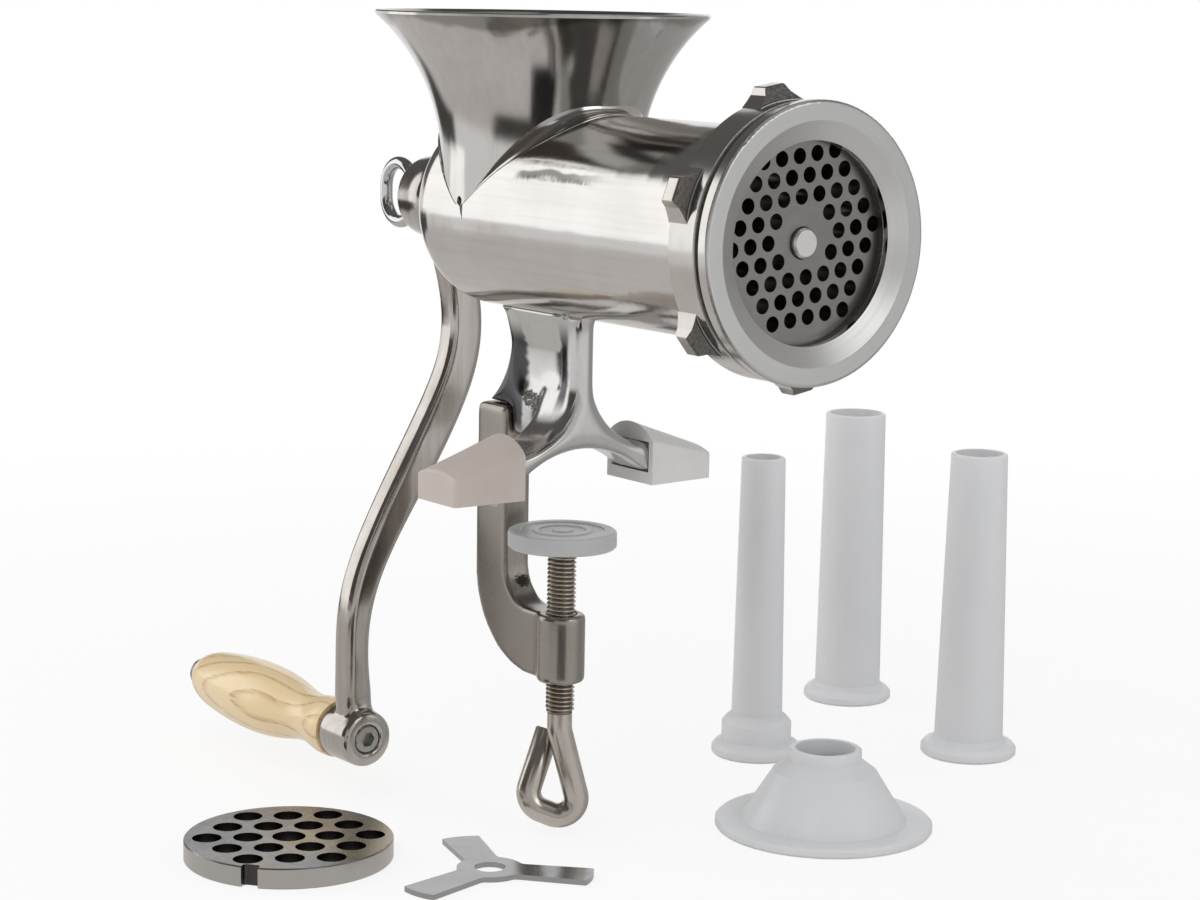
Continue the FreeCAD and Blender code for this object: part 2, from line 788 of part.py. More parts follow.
def make_crank_arm():
    """Hub with a square socket, swept arm that thins downward, and the end boss."""
    line = arm_line()
    total = line.Length
    sections = []
    done = 0.0
    for piece in line.Edges:
        count = 3 if piece.Curve.TypeId == "Part::GeomCircle" else 1
        for k in range(count + 1):
            if k == 0 and sections:
                continue
            share = k / count
            first, final = piece.FirstParameter, piece.LastParameter
            value = first + (final - first) * share
            gone = (done + piece.Length * share) / total
            width = arm_width_at(gone)
            sections.append(arm_section(piece.valueAt(value), piece.tangentAt(value), width))
        done += piece.Length
    arm = Part.makeLoft(sections, True, False)
    taper = (hub_front_dia - hub_rear_dia) / 2
    hub = turned([(hub_front, 0), (hub_front, hub_front_dia / 2 - edge),
                  (hub_front + edge, hub_front_dia / 2), (hub_front + hub_land, hub_front_dia / 2),
                  (hub_back - hub_round, hub_front_dia / 2 - taper),
                  (hub_back, hub_rear_dia / 2 - hub_round), (hub_back, 0)])
    low = axis_height - throw_drop
    boss = turned([(boss_front, 0), (boss_front, boss_dia / 2 - boss_edge),
                   (boss_front + boss_edge, boss_dia / 2), (boss_back - fine_edge, boss_dia / 2),
                   (boss_back, boss_dia / 2 - fine_edge), (boss_back, 0)], throw_x, low)
    crank = arm.fuse([hub, boss])
    socket = square_y(tail_square + 2 * square_gap, hub_front - overlap, hub_back + overlap)
    crank = crank.cut(socket.common(rod_y(tail_corner_dia + 4 * square_gap, hub_front - overlap,
                                          hub_back + overlap)))
    crank = crank.cut(rod_y(spindle_dia, boss_front - overlap, boss_back + overlap, throw_x, low))
    return crank.cut(rod_y(spindle_head + 2 * spindle_play, boss_front - overlap,
                           boss_front + spindle_head_thick, throw_x, low))


def make_grip_spindle():
    """The hex-socket bolt that the grip turns on."""
    low = axis_height - throw_drop
    head_front = boss_front + spindle_sink
    head_back = boss_front + spindle_head_thick
    end = boss_back + 2 * grip_gap + grip_length + cap_thick - cap_skin
    bolt = turned([(head_front, 0), (head_front, spindle_head / 2 - fine_edge),
                   (head_front + fine_edge, spindle_head / 2),
                   (head_back, spindle_head / 2), (head_back, spindle_dia / 2),
                   (end, spindle_dia / 2), (end, 0)], throw_x, low)
    corner = spindle_socket / math.sqrt(3)
    hexagon = Part.makePolygon([Vector(throw_x + corner * math.cos(math.radians(60 * k)), head_front,
                                       low + corner * math.sin(math.radians(60 * k)))
                                for k in range(7)])
    return bolt.cut(Part.Face(hexagon).extrude(Vector(0, spindle_head_thick * 0.7, 0)))


def make_wood_grip():
    """The turned grip: flared collar, neck, belly and rounded tip."""
    y0 = boss_back + grip_gap
    low = axis_height - throw_drop
    bore = spindle_dia / 2 + run_gap
    stations = [(0.0, grip_collar_dia / 2), (grip_collar_length, grip_collar_dia / 2 + grip_collar_swell),
                (0.16 * grip_length, grip_neck_dia / 2), (0.36 * grip_length, grip_belly_dia * 0.44),
                (0.58 * grip_length, grip_belly_dia / 2), (0.82 * grip_length, grip_belly_dia * 0.435),
                (0.955 * grip_length, grip_tip_dia * 0.62), (grip_length, grip_tip_dia * 0.42)]
    curve = Part.BSplineCurve()
    curve.interpolate([Vector(throw_x, y0 + y, low + r) for y, r in stations])
    top = curve.toShape()
    first = Vector(throw_x, y0, low + stations[0][1])
    last = Vector(throw_x, y0 + grip_length, low + stations[-1][1])
    bore_end_point = Vector(throw_x, y0 + grip_length, low + bore)
    bore_start_point = Vector(throw_x, y0, low + bore)
    wire = Part.Wire([top, Part.LineSegment(last, bore_end_point).toShape(),
                      Part.LineSegment(bore_end_point, bore_start_point).toShape(),
                      Part.LineSegment(bore_start_point, first).toShape()])
    return Part.Face(wire).revolve(Vector(throw_x, 0, low), Vector(0, 1, 0), 360)


def make_grip_cap():
    """The domed end on the spindle."""
    y0 = boss_back + 2 * grip_gap + grip_length
    r = cap_dia / 2
    return turned([(y0, spindle_dia / 2), (y0, r), (y0 + cap_thick * 0.4, r),
                   (y0 + cap_thick * 0.85, r * 0.75, y0 + cap_thick, r * 0.3), (y0 + cap_thick, 0),
                   (y0 + cap_thick - cap_skin, 0), (y0 + cap_thick - cap_skin, spindle_dia / 2)],
                  throw_x, axis_height - throw_drop)


def make_crank_washer():
    """The washer between the hub and the thumb screw."""
    y0 = hub_back + seat_gap
    y1 = y0 + crank_washer_thick
    inner = tail_thread / 2 + crank_washer_play
    return turned([(y0, inner), (y0, crank_washer_dia / 2), (y1, crank_washer_dia / 2), (y1, inner)])


def make_thumb_screw():
    """Shank, collar and the loop that fingers turn."""
    y0 = hub_back + 2 * seat_gap + crank_washer_thick
    shank_front = y0 - thumb_shank_length
    y1 = y0 + thumb_collar_thick
    neck_r = thumb_neck_dia / 2
    screw = turned([(shank_front, 0), (shank_front, tail_thread / 2 - edge),
                    (shank_front + edge, tail_thread / 2), (y0, tail_thread / 2),
                    (y0, thumb_collar_dia / 2), (y1 - thumb_edge, thumb_collar_dia / 2),
                    (y1, thumb_collar_dia / 2 - thumb_edge), (y1, neck_r + thumb_root),
                    (y1 + thumb_root, neck_r), (y1 + thumb_neck, neck_r - thumb_taper),
                    (y1 + thumb_neck, 0)])
    half = thumb_loop_height / 2 - thumb_wire / 2
    end_r = thumb_loop_depth / 2 - thumb_wire / 2
    run = half - end_r
    cy = y1 + thumb_neck - thumb_sink + thumb_wire / 2 + end_r
    z0 = axis_height
    path = Part.Wire([
        Part.LineSegment(Vector(0, cy - end_r, z0 - run), Vector(0, cy - end_r, z0 + run)).toShape(),
        Part.Arc(Vector(0, cy - end_r, z0 + run), Vector(0, cy, z0 + half),
                 Vector(0, cy + end_r, z0 + run)).toShape(),
        Part.LineSegment(Vector(0, cy + end_r, z0 + run), Vector(0, cy + end_r, z0 - run)).toShape(),
        Part.Arc(Vector(0, cy + end_r, z0 - run), Vector(0, cy, z0 - half),
                 Vector(0, cy - end_r, z0 - run)).toShape()])
    ring = Part.Wire([Part.makeCircle(thumb_wire / 2, Vector(0, cy - end_r, z0 - run), Vector(0, 0, 1))])
    loop = path.makePipeShell([ring], True, False)
    return screw.fuse(loop)


def make_column():
    """The stand: scooped web, front flange, saddle under the barrel, and the arch with two arms."""
    front = flange_front
    top = axis_height - barrel_dia / 2 + column_sink
    low = arch_apex
    spine_front = spine_back - spine_depth
    neck = column_neck
    neck_height = spine_top + neck_share * (top - spine_top)
    web = plate_yz([
        (front, low), (spine_front, low), (spine_front, spine_top), (spine_back - web_corner, spine_top),
        (neck + web_swell_low, neck_height - 0.558 * (neck_height - spine_top), neck, neck_height),
        (neck + web_swell_high, neck_height + 0.458 * (top - neck_height), column_top_rear, top),
        (front, top)], column_width)
    flat = (column_width - flange_width) / 2
    sharp = [e for e in web.Edges if e.BoundBox.YLength < 1e-6 and e.BoundBox.XLength < 1e-6
             and abs(e.BoundBox.YMin - front) < 1e-6]
    web = web.makeFillet(flat, sharp)
    # scoops on both sides leave a thin web between two ribs
    m = scoop_front
    n = scoop_rear
    floor_z = spine_top + scoop_floor
    ceiling = top - scoop_ceiling
    q = scoop_round * (1 - math.sqrt(0.5))
    side = [(front + m, floor_z + scoop_round),
            (front + m + q, floor_z + q, front + m + scoop_round, floor_z),
            (neck - n - scoop_toe, floor_z + scoop_toe_rise),
            (neck - n, neck_height - scoop_round, neck - n, neck_height),
            (neck - n, ceiling), (front + m, ceiling)]
    for sign in (-1, 1):
        face = Part.Face(wire_of(side, lambda y, z: Vector(sign * column_width / 2, y, z)))
        scoop = face.extrude(Vector(-sign * scoop_depth, 0, 0))
        inner = [e for e in scoop.Edges if abs(e.BoundBox.XMin - e.BoundBox.XMax) < 1e-6
                 and abs(abs(e.BoundBox.XMin) - (column_width / 2 - scoop_depth)) < 1e-6]
        web = web.cut(scoop.makeFillet(scoop_depth * 0.9, inner))
    half = column_width / 2
    x_in = boot_inner
    x_tip = arm_span / 2
    slope = (shoulder_height - tip_high) / (x_tip - x_in)
    swell = shoulder_height + slope * (x_in - half) + arch_swell
    arch_items = [
        (x_tip, tip_low), (x_tip, tip_high), (x_in, shoulder_height),
        (half + arch_swell_at, swell, half, fillet_rise), (-half, fillet_rise),
        (-half - arch_swell_at, swell, -x_in, shoulder_height),
        (-x_tip, tip_high), (-x_tip, tip_low), (-arch_half, arch_foot),
        (0, arch_apex, arch_half, arch_foot)]
    wire = wire_of(arch_items, lambda x, z: Vector(x, front, z))
    arch = Part.Face(wire).extrude(Vector(0, arm_y_depth, 0))
    saddle_z0 = axis_height - barrel_dia / 2 - saddle_drop
    sections = []
    for z, width, y0, y1 in ((saddle_z0, column_width, front + 0.1, neck + saddle_over),
                             (saddle_z0 + saddle_drop * 0.6, column_width * 1.3, front,
                              neck + 2 * saddle_over),
                             (top, saddle_width, front - saddle_over, column_top_rear + saddle_over)):
        a, nose = width / 2, flange_width / 2 + (width - column_width) * 0.12
        corners = [(-nose, y0), (nose, y0), (a, y0 + saddle_nose), (a, y1 - saddle_tail), (nose, y1),
                   (-nose, y1), (-a, y1 - saddle_tail), (-a, y0 + saddle_nose), (-nose, y0)]
        sections.append(Part.makePolygon([Vector(x, y, z) for x, y in corners]))
    saddle = Part.makeLoft(sections, True, True)
    column = web.fuse([arch, saddle])
    return column.cut(barrel_skin(weld_gap))


def make_c_frame():
    """The bar behind the table edge and the boss that the clamp screw runs in."""
    back = spine_back
    inner = back - spine_depth
    R = frame_outer_radius
    r = frame_inner_radius
    c = frame_corner
    h = math.sqrt(0.5)
    bar = plate_yz([
        (inner, spine_top), (back - c, spine_top),
        (back - c + c * h, spine_top - c + c * h, back, spine_top - c),
        (back, frame_bottom + R),
        (back - R + R * h, frame_bottom + R - R * h, back - R, frame_bottom),
        (0, frame_bottom), (0, frame_low_top), (inner - r, frame_low_top),
        (inner - r + r * h, frame_low_top + r - r * h, inner, frame_low_top + r)], frame_width)
    boss = rod_z(boss_screw_dia, frame_bottom - boss_over, frame_low_top + boss_over * 0.6)
    boss = boss.makeChamfer(boss_chamfer, [e for e in boss.Edges if e.Curve.TypeId == "Part::GeomCircle"])
    frame = bar.fuse(boss)
    return frame.cut(rod_z(screw_dia + 2 * run_gap, frame_bottom - overlap, frame_low_top + overlap))


def make_boot(sign, column):
    """A rubber boot: crowned wedge with a pocket for the arm."""
    middle = flange_front + arm_y_depth / 2
    sections = []
    for x, depth, side, crown in ((boot_inner, boot_depth, boot_side_in, boot_crown_in),
                                  (boot_outer, boot_depth_out, boot_side_out, boot_crown_out)):
        a, b = middle - depth / 2, middle + depth / 2
        items = [(a, -boot_round), (b, -boot_round), (b, side), (middle, crown, a, side)]
        sections.append(wire_of(items, lambda y, z: Vector(sign * x, y, z)))
    boot = Part.makeLoft(sections, True, True)
    ends = [e for e in boot.Edges if abs(abs(e.BoundBox.XMin + e.BoundBox.XMax) / 2 - boot_outer) < 0.01]
    rims = [e for e in boot.Edges if e.BoundBox.XLength > boot_round and e.BoundBox.ZMax > boot_round]
    boot = boot.makeFillet(boot_round, ends + rims)
    # the sole is cut flat where the boot rests on the table
    sole = Part.makeBox(2 * boot_outer, 2 * boot_depth, boot_crown_in,
                        Vector(-boot_outer, middle - boot_depth, -boot_crown_in))
    sole.translate(Vector(sign * boot_outer, 0, 0))
    boot = boot.cut(sole)
    reach = arm_span / 2 - boot_inner + overlap
    start = boot_inner - overlap if sign > 0 else -boot_inner - reach + overlap
    pocket_box = Part.makeBox(reach, 2 * boot_depth, 2 * boot_crown_in,
                              Vector(start, middle - boot_depth, -boot_crown_in))
    arm = column.common(pocket_box)
    box = arm.BoundBox
    grown = arm.copy()
    matrix = FreeCAD.Matrix()
    centre = box.Center
    matrix.move(Vector(-centre.x, -centre.y, -centre.z))
    matrix.scale(Vector(1 + 2 * rubber_gap / box.XLength, 1 + 2 * rubber_gap / box.YLength,
                        1 + 2 * rubber_gap / box.ZLength))
    matrix.move(centre)
    grown = grown.transformGeometry(matrix)
    return boot.cut(grown)


def make_clamp_screw():
    """Rivet head, neck, threaded rod and the rod bent into an eye."""
    disc_top = pad_top - pad_wall - pad_disc_gap
    head_top = disc_top - screw_head_gap
    head_low = disc_top - rivet_thick - rivet_gap
    shoulder = pad_top - pad_height + screw_head_gap
    rod = spun([(0, head_top), (rivet_dia / 2 - rivet_edge, head_top),
                (rivet_dia / 2, head_top - rivet_edge), (rivet_dia / 2, head_low),
                (pad_neck_dia / 2, head_low), (pad_neck_dia / 2, shoulder),
                (screw_dia / 2 - edge, shoulder), (screw_dia / 2, shoulder - edge),
                (screw_dia / 2, screw_thread_low + edge), (eye_rod_dia / 2, screw_thread_low),
                (eye_rod_dia / 2, screw_thread_low - overlap), (0, screw_thread_low - overlap)])
    corners = [(0, 0), (0, -eye_lead), eye_low, eye_far, eye_end]
    radii = eye_bends
    across = Vector(math.cos(math.radians(eye_turn)), math.sin(math.radians(eye_turn)), 0)
    behind = Vector(-across.y, across.x, 0)
    lift = [0, 0, 0, eye_offset * 0.55, eye_offset]
    points = [across * u + behind * d + Vector(0, 0, screw_thread_low + v)
              for (u, v), d in zip(corners, lift)]
    edges = []
    last = points[0]
    for k, radius in enumerate(radii):
        corner, after = points[k + 1], points[k + 2]
        back = (last - corner).normalize()
        ahead = (after - corner).normalize()
        half = back.getAngle(ahead) / 2
        run = radius / math.tan(half)
        into = corner + back * run
        out = corner + ahead * run
        middle = corner + (back + ahead).normalize() * (radius / math.sin(half) - radius)
        edges.append(Part.LineSegment(last, into).toShape())
        edges.append(Part.Arc(into, middle, out).toShape())
        last = out
    edges.append(Part.LineSegment(last, points[-1]).toShape())
    path = Part.Wire(edges)
    ring = Part.Wire([Part.makeCircle(eye_rod_dia / 2, points[0], Vector(0, 0, 1))])
    eye = path.makePipeShell([ring], True, False)
    return rod.fuse(eye)


def make_pad_disc():
    """The steel swivel disc that the screw's rivet head holds."""
    top = pad_top - pad_wall - pad_disc_gap
    low = pad_top - pad_height + disc_low_gap
    sink = top - rivet_thick - 2 * rivet_gap
    pocket = rivet_dia / 2 + rivet_play
    outer = pad_dia / 2 - pad_wall - disc_side_gap
    inner = pad_neck_dia / 2 + run_gap
    return spun([(pocket, top), (outer, top), (outer, low), (inner, low), (inner, sink),
                 (pocket, sink)])


def make_pad_cap():
    """The plastic cap with raised rings on top."""
    r = pad_dia / 2
    low = pad_top - pad_height
    top = pad_top
    rise = pad_ring_rise
    q = pad_round * (1 - math.sqrt(0.5))
    return spun([(0, top - pad_wall), (r - pad_wall, top - pad_wall), (r - pad_wall, low),
                 (r - pad_edge, low), (r, low + pad_edge), (r, top - pad_round),
                 (r - q, top - q, r - pad_round, top), (r * 0.78, top), (r * 0.76, top - rise),
                 (r * 0.56, top - rise), (r * 0.54, top), (r * 0.44, top), (r * 0.42, top - rise),
                 (r * 0.2, top - rise), (r * 0.18, top), (0, top)])


def make_star():
    """The flat three-armed support for stuffing."""
    outer = star_radius
    star = Part.makeCylinder(star_hub / 2, star_thick)
    for k in range(3):
        side = [(0, -star_arm_root / 2), (outer - 1, -star_arm_tip / 2),
                (outer, 0, outer - 1, star_arm_tip / 2), (0, star_arm_root / 2)]
        arm = Part.Face(wire_of(side, lambda x, y: Vector(x, y, 0))).extrude(Vector(0, 0, star_thick))
        arm.Placement = place(120 * k, (0, 0, 1))
        star = star.fuse(arm)
    star = star.removeSplitter()
    inner = [e for e in star.Edges if e.BoundBox.ZLength > 1 and e.BoundBox.XLength < 1e-6
             and math.hypot(e.BoundBox.XMin, e.BoundBox.YMin) < star_hub / 2 + 1]
    if inner:
        star = star.makeFillet(star_round, inner)
    star = star.cut(Part.makeCylinder(star_bore / 2, 3 * star_thick, Vector(0, 0, -star_thick)))
    star.Placement = place(star_turn, (0, 0, 1), (star_at[0], star_at[1], floor_z))
    return star


def make_stuffing_flange():
    """The ribbed plastic cone that carries a tube in the ring."""
    z0 = floor_z
    w = flange_wall
    rim = flange_dia / 2
    foot = flange_cone_dia / 2
    neck = flange_collar_dia / 2
    z_cone = z0 + flange_thick
    z_neck = z0 + flange_height - flange_collar_height
    z_shoulder = z_neck - flange_cone_rise
    z_top = z0 + flange_height
    slope = (foot - neck - flange_cone_step) / (z_shoulder - z_cone)
    shell = spun([(rim - flange_edge, z0), (rim, z0 + edge), (rim, z_cone - edge), (rim - edge, z_cone),
                  (foot, z_cone), (neck + flange_cone_step, z_shoulder),
                  (neck + flange_cone_step * 0.4, z_neck - flange_edge, neck, z_neck + 2 * flange_edge),
                  (neck, z_top - fine_edge), (neck - fine_edge, z_top), (neck - w, z_top),
                  (neck - w, z_neck - fine_edge), (neck + flange_inner_step - w, z_shoulder - w * 0.6),
                  (foot - w - slope * w, z0)],
                 flange_at)
    ribs = []
    for k in range(flange_ribs):
        rib = Part.Face(wire_of([
            (foot - w - rib_gap, z0 + rib_gap), (foot - w - rib_foot, z0 + rib_gap),
            (neck + rib_gap, z_shoulder - w - rib_foot + rib_gap),
            (neck + rib_top, z_shoulder - w - fine_edge)],
            lambda r, z: Vector(r, -rib_thick / 2, z))).extrude(Vector(0, rib_thick, 0))
        rib.Placement = place(k * 360 / flange_ribs, (0, 0, 1), (flange_at[0], flange_at[1], 0))
        ribs.append(rib)
    return shell.fuse(ribs)


def make_tube(at, height, tip_dia, root_dia, flange, step):
    """A tapered stuffing tube with its flange and, on the narrow one, a step."""
    z0 = floor_z
    z_flange = z0 + tube_flange_thick
    inner_tip = tip_dia / 2 - tube_wall
    inner_root = root_dia / 2 - tube_wall
    outline = [(inner_root, z0), (flange / 2 - edge, z0), (flange / 2, z0 + edge),
               (flange / 2, z_flange - 2 * edge), (flange / 2 - tube_root_flare, z_flange)]
    if step:
        outline += [(step / 2, z_flange + tube_step_low), (step / 2, z_flange + tube_step_high),
                    (step / 2 - tube_step_round, z_flange + tube_step_shoulder),
                    (root_dia / 2, z_flange + tube_step_end)]
    else:
        outline += [(root_dia / 2 + tube_root_flare, z_flange + edge),
                    (root_dia / 2, z_flange + 2 * tube_root_flare)]
    outline += [(tip_dia / 2, z0 + height - fine_edge), (tip_dia / 2 - fine_edge, z0 + height),
                (inner_tip, z0 + height)]
    return spun(outline, at)


tubes = {
    "tube_small": (small_tube_at, small_tube_height, small_tube_tip, small_tube_root,
                   small_tube_flange, tube_step_dia),
    "tube_medium": (medium_tube_at, medium_tube_height, medium_tube_tip, medium_tube_root,
                    medium_tube_flange, 0),
    "tube_large": (large_tube_at, large_tube_height, large_tube_tip, large_tube_root,
                   large_tube_flange, 0),
}

os.makedirs("parts", exist_ok=True)
column = make_column()
save("barrel", make_barrel())
save("hopper", make_hopper())
save("column", column)
save("c_frame", make_c_frame())
save("boot_left", make_boot(-1, column))
save("boot_right", make_boot(1, column))
save("rear_bush", make_rear_bush())
save("thrust_washer", make_thrust_washer())
save("plate_key", make_plate_key())
save("auger", make_auger())
save("knife", make_knife())
save("fine_plate", make_fine_plate())
save("ring_nut", make_ring_nut())
save("crank_arm", make_crank_arm())
save("crank_washer", make_crank_washer())
save("thumb_screw", make_thumb_screw())
save("grip_spindle", make_grip_spindle())
save("wood_grip", make_wood_grip())
save("grip_cap", make_grip_cap())
save("clamp_screw", make_clamp_screw())
save("pad_disc", make_pad_disc())
save("pad_cap", make_pad_cap())
save("coarse_plate", make_coarse_plate())
save("stuffing_star", make_star())
save("stuffing_flange", make_stuffing_flange())
for name, sizes in tubes.items():
    save(name, make_tube(*sizes))
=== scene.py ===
import logging
import math
from dataclasses import dataclass
from enum import Enum
from typing import Callable, Sequence, Union

import bmesh
import bpy
from mathutils import Matrix, Vector, noise


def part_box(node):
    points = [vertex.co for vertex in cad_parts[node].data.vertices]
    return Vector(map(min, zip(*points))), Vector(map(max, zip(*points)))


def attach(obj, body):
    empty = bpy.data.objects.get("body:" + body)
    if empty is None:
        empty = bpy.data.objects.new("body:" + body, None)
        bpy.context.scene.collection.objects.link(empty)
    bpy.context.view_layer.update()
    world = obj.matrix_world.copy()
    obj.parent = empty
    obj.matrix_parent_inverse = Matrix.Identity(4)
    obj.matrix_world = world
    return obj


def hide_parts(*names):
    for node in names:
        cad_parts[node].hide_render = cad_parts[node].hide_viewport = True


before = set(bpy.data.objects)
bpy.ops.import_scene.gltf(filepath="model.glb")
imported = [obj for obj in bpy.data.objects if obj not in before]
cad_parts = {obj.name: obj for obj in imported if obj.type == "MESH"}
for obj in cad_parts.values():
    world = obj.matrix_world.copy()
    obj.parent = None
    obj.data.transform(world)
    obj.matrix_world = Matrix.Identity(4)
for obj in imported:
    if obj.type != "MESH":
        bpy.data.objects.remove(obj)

log = logging.getLogger("grinder")

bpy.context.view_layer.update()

Colour = tuple[float, float, float]
Number = Union[int, float, "Value"]

AXIS_HEIGHT = 0.0922
HOPPER_AT = 0.015
WHITE: Colour = (1.0, 1.0, 1.0)
MIX_COLOURS = (6, 7)
MIX_RESULT = 2
SAME_POINT = 1e-7
SMOOTH_ALL = 180.0
LUMPS_PER_RADIUS = 2.1


class Lay(Enum):
    """The direction that the polishing or grinding marks of a surface run in."""

    ROUND_BARREL = (60.0, 2400.0, 60.0)
    ALONG_BARREL = (1800.0, 40.0, 1800.0)
    UPRIGHT = (1500.0, 1500.0, 25.0)
    ACROSS = (60.0, 1800.0, 1800.0)
    NONE = (500.0, 500.0, 500.0)


class Value:
    """A number inside a node graph. Arithmetic on it adds Math nodes."""

    def __init__(self, graph: "Graph", socket: bpy.types.NodeSocket) -> None:
        """Wrap one output socket of a graph."""
        self.graph = graph
        self.socket = socket

    def _maths(self, operation: str, *others: Number, flip: bool = False) -> "Value":
        """Add a Math node.

        Args:
            operation: The Math node's operation.
            others: Its other inputs, numbers or values.
            flip: Whether this value is the second input.

        Returns:
            The node's result.
        """
        terms: list[Number] = [self, *others]
        if flip:
            terms.reverse()
        node = self.graph.add("ShaderNodeMath", {"operation": operation}, dict(enumerate(terms)))
        return Value(self.graph, node.outputs[0])

    def __add__(self, other: Number) -> "Value":
        """Add a number or value."""
        return self._maths("ADD", other)

    def __radd__(self, other: Number) -> "Value":
        """Add to a number."""
        return self._maths("ADD", other)

    def __sub__(self, other: Number) -> "Value":
        """Subtract a number or value."""
        return self._maths("SUBTRACT", other)

    def __rsub__(self, other: Number) -> "Value":
        """Subtract from a number."""
        return self._maths("SUBTRACT", other, flip=True)

    def __mul__(self, other: Number) -> "Value":
        """Multiply by a number or value."""
        return self._maths("MULTIPLY", other)

    def __rmul__(self, other: Number) -> "Value":
        """Multiply a number."""
        return self._maths("MULTIPLY", other)

    def __truediv__(self, other: Number) -> "Value":
        """Divide by a number or value."""
        return self._maths("DIVIDE", other)

    def __gt__(self, other: Number) -> "Value":
        """1 where this is larger, otherwise 0."""
        return self._maths("GREATER_THAN", other)

    def __lt__(self, other: Number) -> "Value":
        """1 where this is smaller, otherwise 0."""
        return self._maths("LESS_THAN", other)

    def clamp(self) -> "Value":
        """Hold the value between 0 and 1."""
        return self._maths("MAXIMUM", 0.0)._maths("MINIMUM", 1.0)

    def root(self) -> "Value":
        """The square root."""
        return self._maths("SQRT")

    def fraction(self) -> "Value":
        """What is left above the whole number below."""
        return self._maths("FRACT")

    def off(self, middle: float) -> "Value":
        """How far the value is from a middle, either way."""
        return length(self - middle)

    def ramp(self, low: float, high: float) -> "Value":
        """0 at low, 1 at high, smooth between.

        Args:
            low: Where the result is 0.
            high: Where the result is 1; may be below low.

        Returns:
            The eased share.
        """
        settings = {"interpolation_type": "SMOOTHSTEP"}
        sockets: dict[Union[int, str], object] = {"Value": self, "From Min": low, "From Max": high}
        if low > high:
            sockets.update({"From Min": high, "From Max": low, "To Min": 1.0, "To Max": 0.0})
        node = self.graph.add("ShaderNodeMapRange", settings, sockets)
        return Value(self.graph, node.outputs[0])


def length(*parts: Value) -> Value:
    """The length of a vector.

    Args:
        parts: Its parts along each axis.

    Returns:
        The square root of the sum of their squares.
    """
    squares = [part * part for part in parts]
    total = squares[0]
    for square in squares[1:]:
        total = total + square
    return total.root()


